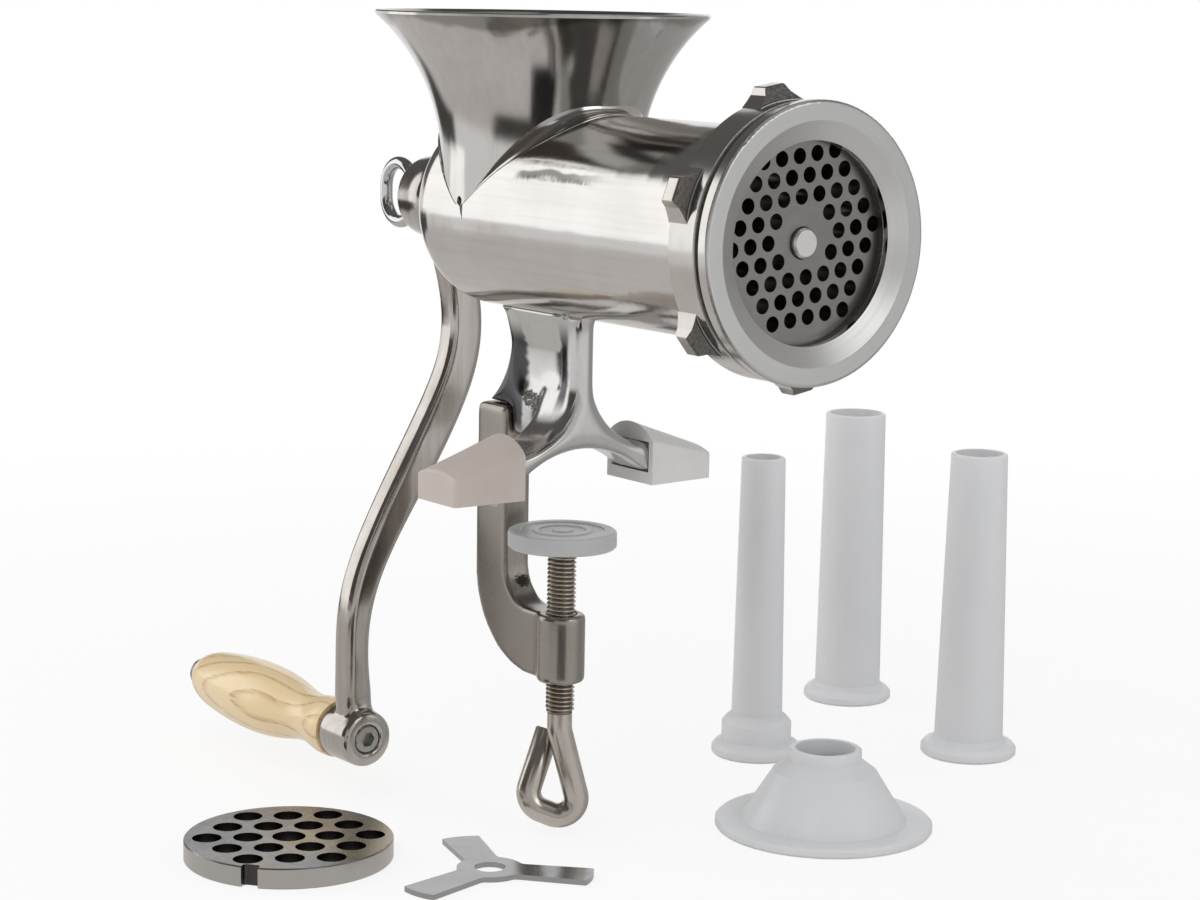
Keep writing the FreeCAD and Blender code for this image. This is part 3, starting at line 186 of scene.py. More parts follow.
class Graph:
    """A material's node tree, built with few words."""

    def __init__(self, name: str) -> None:
        """Start an empty material with its output node.

        Args:
            name: The material's name.
        """
        self.material = bpy.data.materials.new(name)
        self.material.use_nodes = True
        self.tree = self.material.node_tree
        self.tree.nodes.clear()
        self.output = self.add("ShaderNodeOutputMaterial")

    @classmethod
    def of_tree(cls, tree: bpy.types.NodeTree, output: str) -> "Graph":
        """Work in a tree that isn't a material's.

        Args:
            tree: The tree, which is emptied.
            output: Its output node's type.

        Returns:
            The graph.
        """
        graph = cls.__new__(cls)
        graph.tree = tree
        tree.nodes.clear()
        graph.output = graph.add(output)
        return graph

    def add(self, kind: str, settings: Union[dict[str, object], None] = None,
            sockets: Union[dict[Union[int, str], object], None] = None) -> bpy.types.Node:
        """Add one node.

        Args:
            kind: The node's type.
            settings: Properties that are set first; "stops" fills a colour ramp.
            sockets: Values or links of its inputs, by name or number.

        Returns:
            The new node.
        """
        node = self.tree.nodes.new(kind)
        for key, value in (settings or {}).items():
            if key == "stops":
                elements = node.color_ramp.elements
                while len(elements) < len(value):
                    elements.new(0.5)
                for element, (at, colour) in zip(elements, value):
                    element.position = at
                    element.color = (*colour, 1.0)
            else:
                setattr(node, key, value)
        for key, value in (sockets or {}).items():
            target = node.inputs[key]
            if isinstance(value, Value):
                value = value.socket
            if isinstance(value, bpy.types.NodeSocket):
                self.tree.links.new(value, target)
            elif isinstance(value, tuple) and target.type == "RGBA":
                target.default_value = (*value, 1.0)
            else:
                target.default_value = value
        return node

    def where(self, kind: str = "Object") -> bpy.types.NodeSocket:
        """The point on the object, in metres, or another of the texture coordinates."""
        return self.add("ShaderNodeTexCoord").outputs[kind]

    def place(self, kind: str = "Object") -> tuple[Value, Value, Value]:
        """The parts of the point on the object, or of another coordinate.

        Args:
            kind: The coordinate: Object, Normal or Generated.

        Returns:
            Its x, y and z.
        """
        split = self.add("ShaderNodeSeparateXYZ", None, {0: self.where(kind)})
        return tuple(Value(self, split.outputs[k]) for k in range(3))

    def facing(self) -> tuple[Value, Value, Value]:
        """The surface's direction on the object, as x, y and z."""
        return self.place("Normal")

    def vector(self, x: Number, y: Number, z: Number) -> bpy.types.NodeSocket:
        """Join three numbers to a vector."""
        return self.add("ShaderNodeCombineXYZ", None, {0: x, 1: y, 2: z}).outputs[0]

    def cloud(self, where: bpy.types.NodeSocket, scale: float, detail: float = 2.0,
              rough: float = 0.5, warp: float = 0.0) -> Value:
        """Soft noise.

        Args:
            where: The vector to read it at.
            scale: Features per metre.
            detail: Octaves.
            rough: Weight of the finer octaves.
            warp: Distortion.

        Returns:
            A value about 0.5.
        """
        sockets = {"Vector": where, "Scale": scale, "Detail": detail, "Roughness": rough,
                   "Distortion": warp}
        return Value(self, self.add("ShaderNodeTexNoise", None, sockets).outputs[0])

    def grain(self, scales: tuple[float, float, float], detail: float = 3.0, rough: float = 0.6) -> Value:
        """Noise that is drawn out along some axes.

        Args:
            scales: Features per metre along x, y and z.
            detail: Octaves.
            rough: Weight of the finer octaves.

        Returns:
            A value about 0.5.
        """
        stretched = self.add("ShaderNodeVectorMath", {"operation": "MULTIPLY"}, {0: self.where(), 1: scales})
        return self.cloud(stretched.outputs[0], 1.0, detail, rough)

    def cells(self, where: bpy.types.NodeSocket, scale: float) -> Value:
        """Distance to the nearest of scattered points."""
        node = self.add("ShaderNodeTexVoronoi", None, {"Vector": where, "Scale": scale})
        return Value(self, node.outputs["Distance"])

    def blend(self, share: Number, first: object, second: object) -> bpy.types.NodeSocket:
        """Mix two colours.

        Args:
            share: 0 gives the first, 1 the second.
            first: A colour or colour socket.
            second: A colour or colour socket.

        Returns:
            The mixed colour.
        """
        node = self.add("ShaderNodeMix", {"data_type": "RGBA"}, {"Factor": share})
        for k, value in zip(MIX_COLOURS, (first, second)):
            socket = node.inputs[k]
            if isinstance(value, bpy.types.NodeSocket):
                self.tree.links.new(value, socket)
            else:
                socket.default_value = (*value, 1.0)
        return node.outputs[MIX_RESULT]

    def relief(self, height: Value, depth: float,
               under: Union[bpy.types.NodeSocket, None] = None) -> bpy.types.NodeSocket:
        """Turn a height into a bumped normal.

        Args:
            height: The height, about 0 to 1.
            depth: Metres that a height of 1 stands for.
            under: A normal that it is laid over.

        Returns:
            The normal.
        """
        sockets: dict[Union[int, str], object] = {"Height": height, "Distance": depth, "Strength": 1.0}
        if under is not None:
            sockets["Normal"] = under
        return self.add("ShaderNodeBump", None, sockets).outputs[0]

    def surface(self, **sockets: object) -> bpy.types.Material:
        """Finish with one Principled shader.

        Args:
            sockets: Its inputs, with underscores for spaces.

        Returns:
            The material.
        """
        named = {key.replace("_", " "): value for key, value in sockets.items()}
        shader = self.add("ShaderNodeBsdfPrincipled", None, named)
        self.tree.links.new(shader.outputs[0], self.output.inputs[0])
        return self.material


@dataclass(frozen=True)
class PolishedSteel:
    """Hand polished stainless steel: soft waves, fine lines and painted dark reflections in random brown
    patches.
    """

    name: str
    light: Colour = (0.56, 0.545, 0.53)
    # dark is the tone of the painted dark reflections.
    dark: Colour = (0.40, 0.365, 0.335)
    rough: float = 0.13
    lay: Lay = Lay.ROUND_BARREL
    wave: float = 0.0005
    lines: float = 0.000012
    painted_reflections: float = 0.5

    def tone(self, g: Graph, colour: object) -> object:
        """The colour after what is special to one piece.

        Args:
            g: The graph.
            colour: The colour of the steel.

        Returns:
            The colour that is used.
        """
        return colour

    def swell(self, g: Graph, height: Value) -> Value:
        """The height of the soft waves after what is special to one piece.

        Args:
            g: The graph.
            height: The waves, about 0 to 1.

        Returns:
            The height that is used.
        """
        return height

    def dress(self) -> bpy.types.Material:
        """Build the material.

        Returns:
            The finish, ready for a mesh.
        """
        g = Graph(self.name)
        here = g.where()
        lines = g.grain(self.lay.value, 3.0, 0.65)
        long_marks = g.grain(tuple(0.2 * scale for scale in self.lay.value), 2.0, 0.5)
        broad = g.cloud(here, 26.0, 3.0, 0.55, 0.4)
        fine = g.cloud(here, 140.0, 3.0, 0.6)
        # The brown patches are painted dark reflections, laid out at random; the smudge setting scales them.
        share = ((broad * 0.7 + long_marks * 0.5 + lines * 0.25 - 0.62) * 2.2 * self.painted_reflections).clamp()
        colour = self.tone(g, g.blend(share, self.light, self.dark))
        rough = (self.rough + (lines - 0.5) * 0.10 + (fine - 0.5) * 0.06 + (broad - 0.5) * 0.06).clamp()
        waves = self.swell(g, g.cloud(here, 30.0, 1.0, 0.4))
        normal = g.relief(waves, self.wave)
        normal = g.relief(long_marks * 0.6 + lines * 0.4, self.lines, normal)
        return g.surface(Base_Color=colour, Metallic=1.0, Roughness=rough, Normal=normal)


@dataclass(frozen=True)
class BarrelSteel(PolishedSteel):
    """The barrel's steel: a shallow dent on its left with a painted dark reflection along it, and painted
    shade in notches at the weld's feet.
    """

    dent_height: float = 0.0153
    dent_half: float = 0.0026
    dent_ends: tuple[float, float] = (-0.066, -0.008)
    streak_fade: float = 0.03
    painted_reflection_colour: Colour = (0.09, 0.08, 0.07)
    notch_at: float = 0.0128
    notch_ends: tuple[float, float] = (0.0893, 0.0985)
    notch_lean: float = 0.15
    notch_spread: float = 0.2
    notch_shade_colour: Colour = (0.03, 0.027, 0.024)

    def tone(self, g: Graph, colour: object) -> object:
        """Paint shade into the notch below each foot of the weld, and a dark reflection along the dent.

        Args:
            g: The graph.
            colour: The colour of the steel.

        Returns:
            The colour that is used.
        """
        y, z = g.place()[1:]
        foot, top = self.notch_ends
        rise = z - foot
        ragged = g.cloud(g.where(), 700.0, 2.0, 0.6)
        leaning = y - rise * self.notch_lean + (ragged - 0.5) * 0.0006
        width = rise * self.notch_spread - leaning.off(self.notch_at)
        # notch: painted shade in the crease below each foot of the weld.
        notch = width.ramp(0.0, 0.0003) * z.ramp(top, top - 0.0008)
        # Painted dark reflection along the dent.
        with_painted_reflection = g.blend(self.painted_reflection_streak(g) * 0.8, colour, self.painted_reflection_colour)
        return g.blend(notch * 0.93, with_painted_reflection, self.notch_shade_colour)

    def painted_reflection_streak(self, g: Graph) -> Value:
        """The feathered brown painted dark reflection along the dent.

        Args:
            g: The graph.

        Returns:
            1 on the painted reflection, 0 beside it.
        """
        x, y, z = g.place()
        front, rear = self.dent_ends
        drift = g.grain((0.0, 45.0, 0.0), 2.0, 0.5)
        feather = g.grain((0.0, 1100.0, 0.0), 2.0, 0.7)
        level = z - AXIS_HEIGHT - self.dent_height + (drift - 0.5) * 0.008
        above = level.ramp(0.0016, 0.0006)
        below = (level + (feather - 0.5) * 0.004).ramp(-0.0022, -0.0004)
        along = y.ramp(front, front + self.streak_fade) * y.ramp(rear - 0.003, rear - 0.008)
        return above * below * along * (x < 0.0)

    def swell(self, g: Graph, height: Value) -> Value:
        """Add the dent and short ripples along the barrel.

        Args:
            g: The graph.
            height: The waves.

        Returns:
            The waves with the dent.
        """
        x, y, z = g.place()
        front, rear = self.dent_ends
        drift = g.grain((0.0, 60.0, 0.0), 2.0, 0.5)
        feather = g.grain((0.0, 900.0, 0.0), 2.0, 0.6)
        level = z - AXIS_HEIGHT - self.dent_height + (drift - 0.5) * 0.004 + (feather - 0.5) * 0.0012
        shape = (level * level * (-1.0 / self.dent_half ** 2) + 1.0).clamp()
        along = y.ramp(front, front + 0.02) * y.ramp(rear, rear - 0.012)
        dent = shape * shape * along * (x < 0.0)
        ripple = g.grain((20.0, 75.0, 20.0), 2.0, 0.5)
        return height - dent * 0.30 + ripple * 0.30


@dataclass(frozen=True)
class ColumnSteel(PolishedSteel):
    """The column's steel, with a painted dark reflection in the scoops' corners."""

    rear_edge: float = 0.0172
    front_corner: float = -0.0048
    corner_half: float = 0.0030
    front_heights: tuple[float, float] = (0.024, 0.058)
    rear_heights: tuple[float, float] = (0.014, 0.055)
    painted_corner_reflection: Colour = (0.045, 0.044, 0.048)
    pits_at: tuple[float, float] = (0.0125, 0.0278)
    pits_size: tuple[float, float] = (0.0085, 0.0036)
    pits_colour: Colour = (0.05, 0.046, 0.042)

    def corners(self, g: Graph) -> Value:
        """Where the dark reflection is painted: behind the scoop and in the corner beside the front flange.

        Args:
            g: The graph.

        Returns:
            1 on the painted dark reflection, 0 on the plain polished steel.
        """
        y, z = g.place()[1:]
        nx = g.facing()[0]
        sideways = nx * nx
        drift = g.grain((0.0, 45.0, 90.0), 3.0, 0.6) - 0.5
        rear = (y + drift * 0.010).ramp(self.rear_edge, self.rear_edge + 0.0022)
        front = (y + drift * 0.002).off(self.front_corner).ramp(self.corner_half, self.corner_half * 0.4)
        low, high = self.rear_heights
        rear = rear * z.ramp(low, low + 0.006) * z.ramp(high, high - 0.008)
        low, high = self.front_heights
        front = front * z.ramp(low, low + 0.008) * z.ramp(high, high - 0.010)
        return (rear * sideways.ramp(0.02, 0.2) + front * sideways.ramp(0.25, 0.6)).clamp()

    def pits(self, g: Graph) -> Value:
        """The rough pitted patch in the scoop's foot.

        Args:
            g: The graph.

        Returns:
            1 in the pits, 0 elsewhere.
        """
        y, z = g.place()[1:]
        grain = g.cloud(g.where(), 520.0, 5.0, 0.75, 0.4)
        across = (y - self.pits_at[0]) / self.pits_size[0]
        up = (z - self.pits_at[1] - across * 0.0016) / self.pits_size[1]
        near = (across * across + up * up).ramp(1.5, 0.3)
        return (grain + near * 0.42 - 0.42).ramp(0.40, 0.52) * near.ramp(0.02, 0.2)

    def tone(self, g: Graph, colour: object) -> object:
        """Paint the dark reflection into the corners, and darken the pits.

        Args:
            g: The graph.
            colour: The colour of the steel.

        Returns:
            The colour that is used.
        """
        # Painted dark reflection in the scoops' corners.
        with_corner_reflection = g.blend(self.corners(g) * 0.93, colour, self.painted_corner_reflection)
        return g.blend(self.pits(g) * 0.85, with_corner_reflection, self.pits_colour)

    def swell(self, g: Graph, height: Value) -> Value:
        """Sink the pits.

        Args:
            g: The graph.
            height: The waves.

        Returns:
            The waves with the pits.
        """
        return height - self.pits(g) * 0.25


@dataclass(frozen=True)
class HopperSteel(PolishedSteel):
    """The hopper's steel, with painted shade on its inside and in a band under its rim."""

    # inner is the tone of the painted shade inside the hopper.
    inner: Colour = (0.28, 0.272, 0.258)
    rim_shade_colour: Colour = (0.20, 0.19, 0.175)
    band_height: float = 0.1535

    def tone(self, g: Graph, colour: object) -> object:
        """Paint shade on the inside and in the band under the rim.

        Args:
            g: The graph.
            colour: The colour of the steel.

        Returns:
            The colour that is used.
        """
        x, y, z = g.place()
        nx, ny, nz = g.facing()
        outward = nx * x + ny * (y - HOPPER_AT)
        # Painted shade on the faces that look into the hopper.
        inside = outward.ramp(0.002, -0.002)
        wavy = z + (g.grain((42.0, 42.0, 16.8), 2.0, 0.5) - 0.5) * 0.012
        # Painted shade on the faces that look down under the rim.
        band = wavy.ramp(self.band_height, self.band_height + 0.0022) * (0.0 - nz).ramp(0.02, 0.12)
        under = g.blend(band * 0.75, colour, self.rim_shade_colour)
        return g.blend(inside, under, self.inner)


@dataclass(frozen=True)
class RingSteel:
    """The ring nut: turned on its front, polished round its band, cast between the lugs."""

    name: str = "ring_steel"
    turned: Colour = (0.57, 0.57, 0.565)
    turned_dark: Colour = (0.45, 0.45, 0.445)
    band: Colour = (0.56, 0.54, 0.515)
    band_dark: Colour = (0.42, 0.395, 0.37)
    cast: Colour = (0.12, 0.115, 0.11)
    cast_light: Colour = (0.28, 0.265, 0.25)
    disc_radius: float = 0.0428
    groove: tuple[float, float] = (-0.1203, -0.1176)
    groove_radius: float = 0.0421

    def dress(self) -> bpy.types.Material:
        """Build the material.

        Returns:
            The finish, ready for a mesh.
        """
        g = Graph(self.name)
        x, y, z = g.place()
        here = g.where()
        radius = length(x, z - AXIS_HEIGHT)
        front = (0.0 - g.facing()[1]).ramp(0.25, 0.4)
        cut = front * radius.ramp(self.disc_radius + 0.0004, self.disc_radius)
        rings = g.cloud(g.vector(x * 14.0, radius * 2600.0, z * 14.0), 1.0, 3.0, 0.7)
        broad = g.cloud(here, 60.0, 3.0, 0.6)
        grit = g.cloud(here, 900.0, 3.0, 0.7)
        pits = g.cells(here, 700.0)
        behind = y.ramp(self.groove[0] + 0.0004, self.groove[0] + 0.0008)
        before = y.ramp(self.groove[1] + 0.0010, self.groove[1] + 0.0002)
        in_groove = behind * before * radius.ramp(self.groove_radius + 0.0003, self.groove_radius - 0.0003)
        lug_front = front * radius.ramp(self.disc_radius - 0.0002, self.disc_radius + 0.0004)
        rough_cast = (lug_front + in_groove).clamp()
        polish = g.grain((60.0, 1800.0, 60.0))
        band = g.blend((broad * 1.4 - 0.3).clamp(), self.band, self.band_dark)
        face = g.blend((rings * 0.9 + broad * 0.5 - 0.4).clamp(), self.turned, self.turned_dark)
        dark = g.blend(grit, self.cast, self.cast_light)
        colour = g.blend(rough_cast, g.blend(cut, band, face), dark)
        rough = 0.16 + (polish - 0.5) * 0.1 + cut * (0.16 + (rings - 0.5) * 0.16) + rough_cast * 0.34
        normal = g.relief(rings * cut, 0.00001)
        normal = g.relief((grit + pits) * rough_cast, 0.00025, normal)
        normal = g.relief(g.cloud(here, 45.0, 1.0) * (1.0 - cut), 0.0004, normal)
        return g.surface(Base_Color=colour, Metallic=1.0, Roughness=rough.clamp(), Normal=normal)


@dataclass(frozen=True)
class GroundSteel:
    """Flat ground tool steel with fine criss-cross marks.

    A tint above 0 adds heat colours on top, and a bore_reach above 0 paints shade on the bore walls within
    it.
    """

    name: str
    light: Colour = (0.42, 0.42, 0.41)
    dark: Colour = (0.30, 0.30, 0.30)
    rough: float = 0.32
    tint: float = 0.0
    lay: Lay = Lay.ACROSS
    bore_centre: tuple[float, float] = (0.0, 0.0)
    bore_reach: float = 0.0
    edge: Colour = (0.50, 0.49, 0.475)
    bore_shade: Colour = (0.035, 0.032, 0.028)
    heat_tints: tuple[tuple[float, Colour], ...] = (
        (0.30, (0.24, 0.26, 0.32)), (0.45, (0.33, 0.31, 0.30)),
        (0.55, (0.46, 0.37, 0.22)), (0.70, (0.54, 0.47, 0.34)))

    def dress(self) -> bpy.types.Material:
        """Build the material.

        Returns:
            The finish, ready for a mesh.
        """
        g = Graph(self.name)
        x, y, _ = g.place()
        here = g.where()
        along_x, along_y, along_z = self.lay.value
        marks = g.grain((along_x, along_y, along_z), 4.0, 0.7)
        crossing = g.grain((along_y, along_x, along_z), 3.0, 0.7)
        stain = g.cloud(here, 70.0, 5.0, 0.65, 0.6)
        colour = g.blend((marks * 0.5 + stain * 0.8 - 0.3).clamp(), self.light, self.dark)
        if self.tint > 0.0:
            heat = g.cloud(here, 22.0, 2.0, 0.5, 0.5)
            tints = g.add("ShaderNodeValToRGB", {"stops": self.heat_tints}, {0: heat}).outputs[0]
            top = g.facing()[2].ramp(0.5, 0.9)
            colour = g.blend(top * self.tint, colour, tints)
        if self.bore_reach > 0.0:
            radius = length(x - self.bore_centre[0], y - self.bore_centre[1])
            upright = g.facing()[2]
            upstanding = (upright * upright).ramp(0.6, 0.3)
            wall = upstanding * radius.ramp(self.bore_reach, self.bore_reach - 0.0006)
            colour = g.blend(upstanding * 0.8, colour, self.edge)
            # Painted shade on the bore walls.
            colour = g.blend(wall * 0.92, colour, self.bore_shade)
        rough = self.rough + (marks - 0.5) * 0.14 + (stain - 0.5) * 0.14
        normal = g.relief(marks + crossing * 0.5, 0.000012)
        return g.surface(Base_Color=colour, Metallic=1.0, Roughness=rough.clamp(), Normal=normal)


@dataclass(frozen=True)
class CastSteel:
    """Blasted or plated steel with an even fine grain."""

    name: str
    light: Colour = (0.62, 0.61, 0.59)
    dark: Colour = (0.40, 0.39, 0.37)
    rough: float = 0.42
    grit: float = 0.00006

    def dress(self) -> bpy.types.Material:
        """Build the material.

        Returns:
            The finish, ready for a mesh.
        """
        g = Graph(self.name)
        here = g.where()
        grain = g.cloud(here, 1500.0, 3.0, 0.7)
        broad = g.cloud(here, 50.0, 3.0, 0.6)
        colour = g.blend((broad * 0.8 + grain * 0.5 - 0.35).clamp(), self.light, self.dark)
        rough = self.rough + (grain - 0.5) * 0.2
        return g.surface(Base_Color=colour, Metallic=1.0, Roughness=rough.clamp(),
                         Normal=g.relief(grain, self.grit))


@dataclass(frozen=True)
class SatinFrameSteel:
    """The satin bar of the clamp, with one dark casting flaw."""

    name: str = "satin_frame_steel"
    light: Colour = (0.37, 0.345, 0.32)
    dark: Colour = (0.25, 0.225, 0.20)
    flaw_at: tuple[float, float, float] = (0.0014, 0.026, -0.0375)
    flaw_size: tuple[float, float, float] = (0.0036, 0.004, 0.0027)
    flaw_colour: Colour = (0.07, 0.065, 0.06)

    def dress(self) -> bpy.types.Material:
        """Build the material.

        Returns:
            The finish, ready for a mesh.
        """
        g = Graph(self.name)
        here = g.where()
        lines = g.grain((1600.0, 50.0, 50.0), 3.0, 0.65)
        broad = g.cloud(here, 35.0, 3.0, 0.6, 0.5)
        grit = g.cloud(here, 1400.0, 4.0, 0.7)
        colour = g.blend((broad * 0.9 + lines * 0.3 - 0.35).clamp(), self.light, self.dark)
        shares = [(part - at) / size for part, at, size in zip(g.place(), self.flaw_at, self.flaw_size)]
        flaw = (length(*shares) + (grit - 0.5) * 1.6).ramp(1.0, 0.7)
        colour = g.blend(flaw, colour, self.flaw_colour)
        rough = 0.27 + (lines - 0.5) * 0.14 + (broad - 0.5) * 0.1 + flaw * 0.35
        normal = g.relief(lines, 0.000012)
        normal = g.relief(g.cloud(here, 40.0, 1.0), 0.0003, normal)
        normal = g.relief(grit * flaw, 0.0003, normal)
        return g.surface(Base_Color=colour, Metallic=1.0, Roughness=rough.clamp(), Normal=normal)


@dataclass(frozen=True)
class ThreadedSteel:
    """The clamp screw: brown in the thread's grooves, brighter on its crests."""

    name: str
    crest_radius: float
    thread_low: float
    root_radius: float = 0.0043
    crest: Colour = (0.58, 0.545, 0.50)
    groove: Colour = (0.20, 0.15, 0.105)

    def dress(self) -> bpy.types.Material:
        """Build the material.

        Returns:
            The finish, ready for a mesh.
        """
        g = Graph(self.name)
        x, y, z = g.place()
        here = g.where()
        radius = length(x, y)
        broad = g.cloud(here, 60.0, 4.0, 0.6, 0.5)
        fine = g.grain((900.0, 900.0, 160.0))
        deep = radius.ramp(self.crest_radius - 0.0001, self.root_radius) * (z > self.thread_low)
        stain = (broad * 1.3 - 0.35).clamp()
        colour = g.blend((deep * 0.8 + stain * 0.35).clamp(), self.crest, self.groove)
        rough = 0.24 + deep * 0.2 + (fine - 0.5) * 0.12
        normal = g.relief(fine, 0.00001)
        normal = g.relief(g.cloud(here, 110.0, 1.0), 0.0002, normal)
        return g.surface(Base_Color=colour, Metallic=1.0, Roughness=rough.clamp(), Normal=normal)


@dataclass(frozen=True)
class Rubber:
    """Matt pale rubber or plastic with moulded grain and faint grime."""

    name: str = "boot_rubber"
    light: Colour = (0.60, 0.56, 0.52)
    dark: Colour = (0.52, 0.475, 0.435)

    def dress(self) -> bpy.types.Material:
        """Build the material.

        Returns:
            The finish, ready for a mesh.
        """
        g = Graph(self.name)
        here = g.where()
        broad = g.cloud(here, 55.0, 4.0, 0.6)
        grain = g.cloud(here, 2200.0, 2.0, 0.6)
        colour = g.blend((broad * 1.5 - 0.4).clamp(), self.light, self.dark)
        rough = 0.50 + (grain - 0.5) * 0.16 + (broad - 0.5) * 0.12
        normal = g.relief(grain, 0.00003)
        normal = g.relief(broad, 0.0002, normal)
        return g.surface(Base_Color=colour, Roughness=rough.clamp(), Normal=normal,
                         Specular_IOR_Level=0.4)


@dataclass(frozen=True)
class Ash:
    """Clear lacquered ash: pale, with brown growth lines and open pores."""

    name: str
    middle: tuple[float, float, float]
    pale: Colour = (0.84, 0.63, 0.34)
    cream: Colour = (0.88, 0.72, 0.455)
    line: Colour = (0.55, 0.32, 0.13)
    pith: tuple[float, float] = (-0.030, 0.004)
    pith_lean: float = 0.16
    spacing: float = 0.0041

    def dress(self) -> bpy.types.Material:
        """Build the material.

        Returns:
            The finish, ready for a mesh.
        """
        g = Graph(self.name)
        across, along, up = (part - at for part, at in zip(g.place(), self.middle))
        slow = g.grain((30.0, 9.0, 30.0), 2.0, 0.5)
        wobble = g.grain((160.0, 30.0, 160.0), 2.0, 0.5)
        side = across - self.pith[0] + along * self.pith_lean
        depth = up * 0.85 - self.pith[1]
        ring = length(side, depth) + (slow - 0.5) * 0.009 + (wobble - 0.5) * 0.0012
        phase = (ring / self.spacing).fraction()
        late = phase.ramp(0.66, 0.93) * phase.ramp(1.0, 0.95)
        strokes = g.grain((2600.0, 130.0, 2600.0), 2.0, 0.5)
        pores = strokes.ramp(0.56, 0.70) * (late * 0.75 + 0.25)
        late = late * g.grain((900.0, 60.0, 900.0), 3.0, 0.65).ramp(0.30, 0.58)
        tone = g.grain((60.0, 12.0, 60.0))
        base = g.blend((tone * 1.6 - 0.3).clamp(), self.cream, self.pale)
        colour = g.blend((late * 0.70 + pores * 0.42).clamp(), base, self.line)
        rough = 0.34 + (strokes - 0.5) * 0.12
        normal = g.relief(1.0 - pores, 0.00006)
        return g.surface(Base_Color=colour, Roughness=rough.clamp(), Normal=normal,
                         Coat_Weight=0.6, Coat_Roughness=0.12)


@dataclass(frozen=True)
class MilkyPlastic:
    """Natural polypropylene: milky, waxy, slightly see-through."""

    name: str = "milky_plastic"
    clear: Colour = (0.85, 0.86, 0.875)
    dense: Colour = (0.77, 0.78, 0.795)
    rough: float = 0.34

    def dress(self) -> bpy.types.Material:
        """Build the material.

        Returns:
            The finish, ready for a mesh.
        """
        g = Graph(self.name)
        here = g.where()
        broad = g.cloud(here, 35.0, 3.0, 0.55)
        flow = g.grain((300.0, 300.0, 14.0), 2.0, 0.5)
        specks = g.cloud(here, 1200.0, 2.0, 0.5)
        colour = g.blend((broad * 1.1 + flow * 0.4 - 0.45).clamp(), self.clear, self.dense)
        rough = self.rough + (specks - 0.5) * 0.08 + (broad - 0.5) * 0.1
        normal = g.relief(flow, 0.00003)
        normal = g.relief(specks, 0.000012, normal)
        return g.surface(Base_Color=colour, Roughness=rough.clamp(), Normal=normal,
                         Subsurface_Weight=0.35, Subsurface_Scale=0.004,
                         Subsurface_Radius=WHITE, Transmission_Weight=0.12, IOR=1.45)


def new_object(name: str, data: object) -> bpy.types.Object:
    """Put a new object into the scene.

    Args:
        name: Its name.
        data: Its mesh, camera or light.

    Returns:
        The object.
    """
    thing = bpy.data.objects.new(name, data)
    bpy.context.scene.collection.objects.link(thing)
    return thing


def finish_piece(thing: bpy.types.Object, body: str) -> bpy.types.Object:
    """Let a new piece ride on a body.

    Args:
        thing: The piece.
        body: The body that it moves with.

    Returns:
        The same piece.
    """
    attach(thing, body)
    log.info("piece %s: %d faces", thing.name, len(thing.data.polygons))
    return thing


